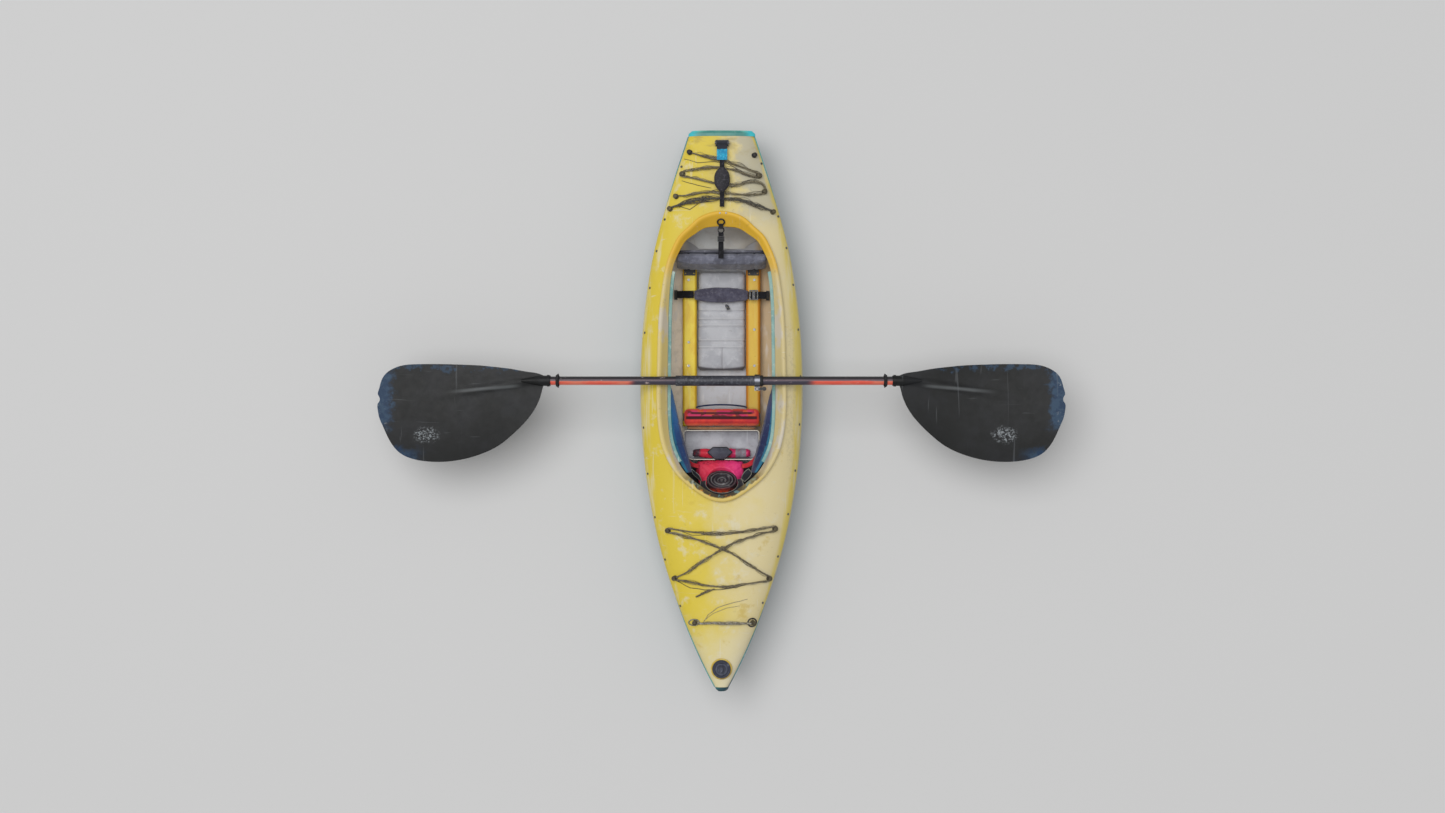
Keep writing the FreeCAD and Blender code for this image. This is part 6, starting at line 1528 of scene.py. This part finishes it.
def slab(name, rows, t):
    """A thin cloth piece from rows of points, t thick, closed."""
    h, w = len(rows), len(rows[0])
    top = [Vector(p) for r in rows for p in r]
    nrm = []
    for j in range(h):
        for i in range(w):
            a = top[j * w + max(0, i - 1)]
            b = top[j * w + min(w - 1, i + 1)]
            c = top[max(0, j - 1) * w + i]
            d = top[min(h - 1, j + 1) * w + i]
            k = (b - a).cross(d - c)
            k = k.normalized() if k.length > 1e-12 else Vector((0, 0, 1))
            nrm.append(k if k.z >= 0 else -k)
    bot = [p - n * t for p, n in zip(top, nrm)]
    off = len(top)
    f = []
    for j in range(h - 1):
        for i in range(w - 1):
            a = j * w + i
            f.append((a, a + 1, a + w + 1, a + w))
            f.append((off + a, off + a + w, off + a + w + 1, off + a + 1))
    for i in range(w - 1):
        f.append((i, off + i, off + i + 1, i + 1))
        a = (h - 1) * w + i
        f.append((a, a + 1, off + a + 1, off + a))
    for j in range(h - 1):
        a = j * w
        f.append((a, a + w, off + a + w, off + a))
        a = j * w + w - 1
        f.append((a, off + a, off + a + w, a + w))
    return mesh_obj(name, top + bot, f)


def band(name, path, half, t, m, body, across=None, wob=0.0):
    """A flat strap along path; across gives the direction of its width."""
    rows = []
    P = [Vector(p) for p in path]
    fine_p = [P[0]]
    for a, b in zip(P[:-1], P[1:]):
        n = max(1, int((b - a).length / 0.006))
        for i in range(1, n + 1):
            fine_p.append(a.lerp(b, i / n))
    for _ in range(3):
        fine_p = [fine_p[0]] + [(fine_p[i - 1] + fine_p[i] * 2 + fine_p[i + 1]) / 4 for i in range(1, len(fine_p) - 1)] + [fine_p[-1]]
    for i, p in enumerate(fine_p):
        d = (fine_p[min(i + 1, len(fine_p) - 1)] - fine_p[max(i - 1, 0)]).normalized()
        s = Vector(across) if across else d.cross(Vector((0, 0, 1)))
        s = (s - d * s.dot(d)).normalized()
        rows.append([p + s * half * u + Vector((0, 0, 1)) * (wob * noise.noise(p * 50 + Vector((u, 0, 0)))) for u in (-1, -0.6, -0.2, 0.2, 0.6, 1)])
    o = slab(name, rows, t)
    o.data.materials.append(m)
    if body:
        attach(o, body)
    return o


def piping(name, pts, r, m, body, closed=False):
    o = sweep(name, [Vector(p) for p in pts], r, 8, closed)
    o.data.materials.append(m)
    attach(o, body)
    return o


# loop of webbing from the hook on the coaming down to the strap's ring
band("anchor_loop", [(-0.002, 0.7060, 0.2375), (-0.002, 0.6990, 0.2335), (-0.002, 0.6925, 0.2260), (-0.002, 0.6900, 0.2150), (-0.002, 0.6885, 0.2085)], 0.0085, 0.0018, M["web"], "kayak", (1, 0, 0))

# foot brace: bound edge, dark cord behind, tan strip in front
fb_lo, fb_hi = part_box("footrest_pad")
zt = fb_hi.z
arc = []
for i in range(25):
    u = -1 + 2 * i / 24
    arc.append((u * 0.098, fb_hi.y + 0.0035 + 0.0105 * (1 - u * u) ** 0.7, zt - 0.016 - 0.012 * abs(u) ** 3))
piping("brace_back_cord", arc, 0.0032, M["navy"], "foot_brace")
tanp = []
for i in range(25):
    u = -1 + 2 * i / 24
    tanp.append((u * 0.132, fb_lo.y - 0.0062 + 0.0012 * math.sin(u * 5), zt - 0.030 - 0.004 * u * u))
band("brace_tan_strip", tanp, 0.0052, 0.0016, M["tan"], "foot_brace", (0, 1, 0.25), 0.001)

# lift loops either side of the valve, and the collar below it
VA = Vector(VAX)
VU = Vector((1, 0, 0))
VW = VA.cross(VU).normalized()      # in the valve's plane, square to X
if VW.y > 0:
    VW = -VW                         # toward the bow, rising


def on_valve(a, r, h):
    """A point round the valve: angle a from the bow side, radius r, height h along its axis."""
    return vc + VU * (r * math.sin(a)) + VW * (r * math.cos(a)) + VA * h


collar_rows = []
for j in range(5):
    row = []
    for i in range(33):
        a = math.radians(-118 + 236 * i / 32)
        r = 0.0625 + 0.0205 * j / 4
        p = on_valve(a, r, -0.006 - 0.010 * (j / 4) ** 1.5)
        p.z = min(p.z, 0.205)
        row.append(p)
    collar_rows.append(row)
col = slab("bag_collar", collar_rows, 0.0022)
col.data.materials.append(M["petal"])
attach(col, "kayak")
piping("collar_edge", [p + Vector((0, 0, 0.0010)) for p in collar_rows[-1]], 0.0011, M["paleedge"], "kayak")
piping("collar_inner_edge", [p + Vector((0, 0, 0.0010)) for p in collar_rows[0]], 0.0010, M["paleedge"], "kayak")

for sgn, nm in ((-1, "left"), (1, "right")):
    rows = []
    for j in range(9):
        v = j / 8
        row = []
        for i in range(9):
            u = i / 8
            wdt = 0.017 * math.sin(math.pi * (0.16 + 0.80 * v)) ** 0.6
            x = sgn * (0.082 + 0.026 * v) + (u - 0.5) * 2 * wdt * (0.55 + 0.45 * v)
            y = -0.268 + 0.040 * v - 0.010 * (u - 0.5)
            z = 0.140 + 0.030 * math.sin(math.pi * v * 0.7) + 0.004 * math.cos((u - 0.5) * 3)
            row.append(Vector((x, y, z)))
        rows.append(row)
    pt = slab("bag_petal_" + nm, rows, 0.002)
    pt.data.materials.append(M["petal"])
    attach(pt, "kayak")
    loop = [r[0] for r in rows] + rows[-1][1:] + [r[-1] for r in reversed(rows[:-1])] + list(reversed(rows[0][1:-1]))
    piping("petal_edge_" + nm, [p + Vector((0, 0, 0.0008)) for p in loop], 0.0010, M["paleedge"], "kayak", True)

# red carry straps from the bag round the tray's front corners
band("bag_strap_left", [(-0.086, -0.214, 0.112), (-0.108, -0.212, 0.110), (-0.126, -0.201, 0.108), (-0.139, -0.185, 0.104), (-0.1455, -0.165, 0.100)], 0.0080, 0.0022, M["redstrap"], "kayak", (0.5, 1, 0), 0.002)
band("bag_strap_right", [(0.078, -0.214, 0.112), (0.098, -0.213, 0.110), (0.116, -0.203, 0.108), (0.132, -0.186, 0.104), (0.1415, -0.164, 0.100)], 0.0085, 0.0022, M["redstrap"], "kayak", (-0.5, 1, 0), 0.002)

# dark flap over the rolled inlet
flap = []
for j in range(11):
    v = j / 10
    row = []
    for i in range(13):
        u = -1 + 2 * i / 12
        wdt = 0.048 * (0.34 + 0.66 * max(0.0, 1 - abs(v - 0.42) / 0.62))
        x = -0.006 + u * wdt
        y = -0.142 - 0.046 * v
        z = 0.0985 + 0.0085 * math.sin(math.pi * (0.15 + 0.75 * v)) - 0.006 * u * u + 0.0010 * noise.noise(Vector((x * 60, y * 60, 0)))
        row.append(Vector((x, y, z)))
    flap.append(row)
fl_p = slab("bag_flap", flap, 0.0035)
fl_p.data.materials.append(M["flap"])
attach(fl_p, "kayak")
loop = [r[0] for r in flap] + flap[-1][1:] + [r[-1] for r in reversed(flap[:-1])] + list(reversed(flap[0][1:-1]))
piping("flap_edge", [p for p in loop], 0.0019, M["web"], "kayak", True)

# thin cord between the backrest hinge and the lap band
TETHER = [(-0.0890, 0.5360, 0.0760), (-0.0886, 0.5200, 0.0790), (-0.0895, 0.5040, 0.0800), (-0.0884, 0.4880, 0.0820), (-0.0890, 0.4700, 0.0885)]
teth_line = fine([Vector(p) for p in TETHER], 0.004)
for _ in range(4):
    teth_line = [teth_line[0]] + [(teth_line[i - 1] + teth_line[i] * 2 + teth_line[i + 1]) / 4 for i in range(1, len(teth_line) - 1)] + [teth_line[-1]]
tether = sweep("band_tether", teth_line, 0.0018, 8)
tether.data.materials.append(M["cord"])
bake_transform(tether)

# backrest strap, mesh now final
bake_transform(bs)

# ---------------------------------------------------------------- floor and light
fl_o = mesh_obj("floor", [(-9, -9, 0), (9, -9, 0), (9, 9, 0), (-9, 9, 0)], [(0, 1, 2, 3)])
g = Mat("floor_paper", rough=0.9, spec=0.1)
nf = g.noise(3, 2)
g.colour(g.mix(g.mul(nf, 0.25), rgb(203, 203, 203), rgb(201, 201, 201)))
fl_o.data.materials.append(g.m)

world = bpy.data.worlds.new("studio")
scene.world = world
world.use_nodes = True
bg = world.node_tree.nodes["Background"]
bg.inputs[0].default_value = (1, 1, 1, 1)
bg.inputs[1].default_value = 0.40


def area(name, loc, size, power, target=(0, 0, 0)):
    la = bpy.data.lights.new(name, "AREA")
    la.shape = "DISK"
    la.size = size
    la.energy = power
    o = link(bpy.data.objects.new(name, la))
    o.location = loc
    o.rotation_mode = "QUATERNION"
    o.rotation_quaternion = (Vector(target) - Vector(loc)).to_track_quat("-Z", "Y")
    return o


area("key", (-2.6, 2.4, 6.2), 3.2, 40)
sun_d = bpy.data.lights.new("overhead", "SUN")
sun_d.energy = 1.80
sun_d.angle = math.radians(52)
sun = link(bpy.data.objects.new("overhead", sun_d))
sun.rotation_euler = (math.radians(-9), math.radians(-11), 0)
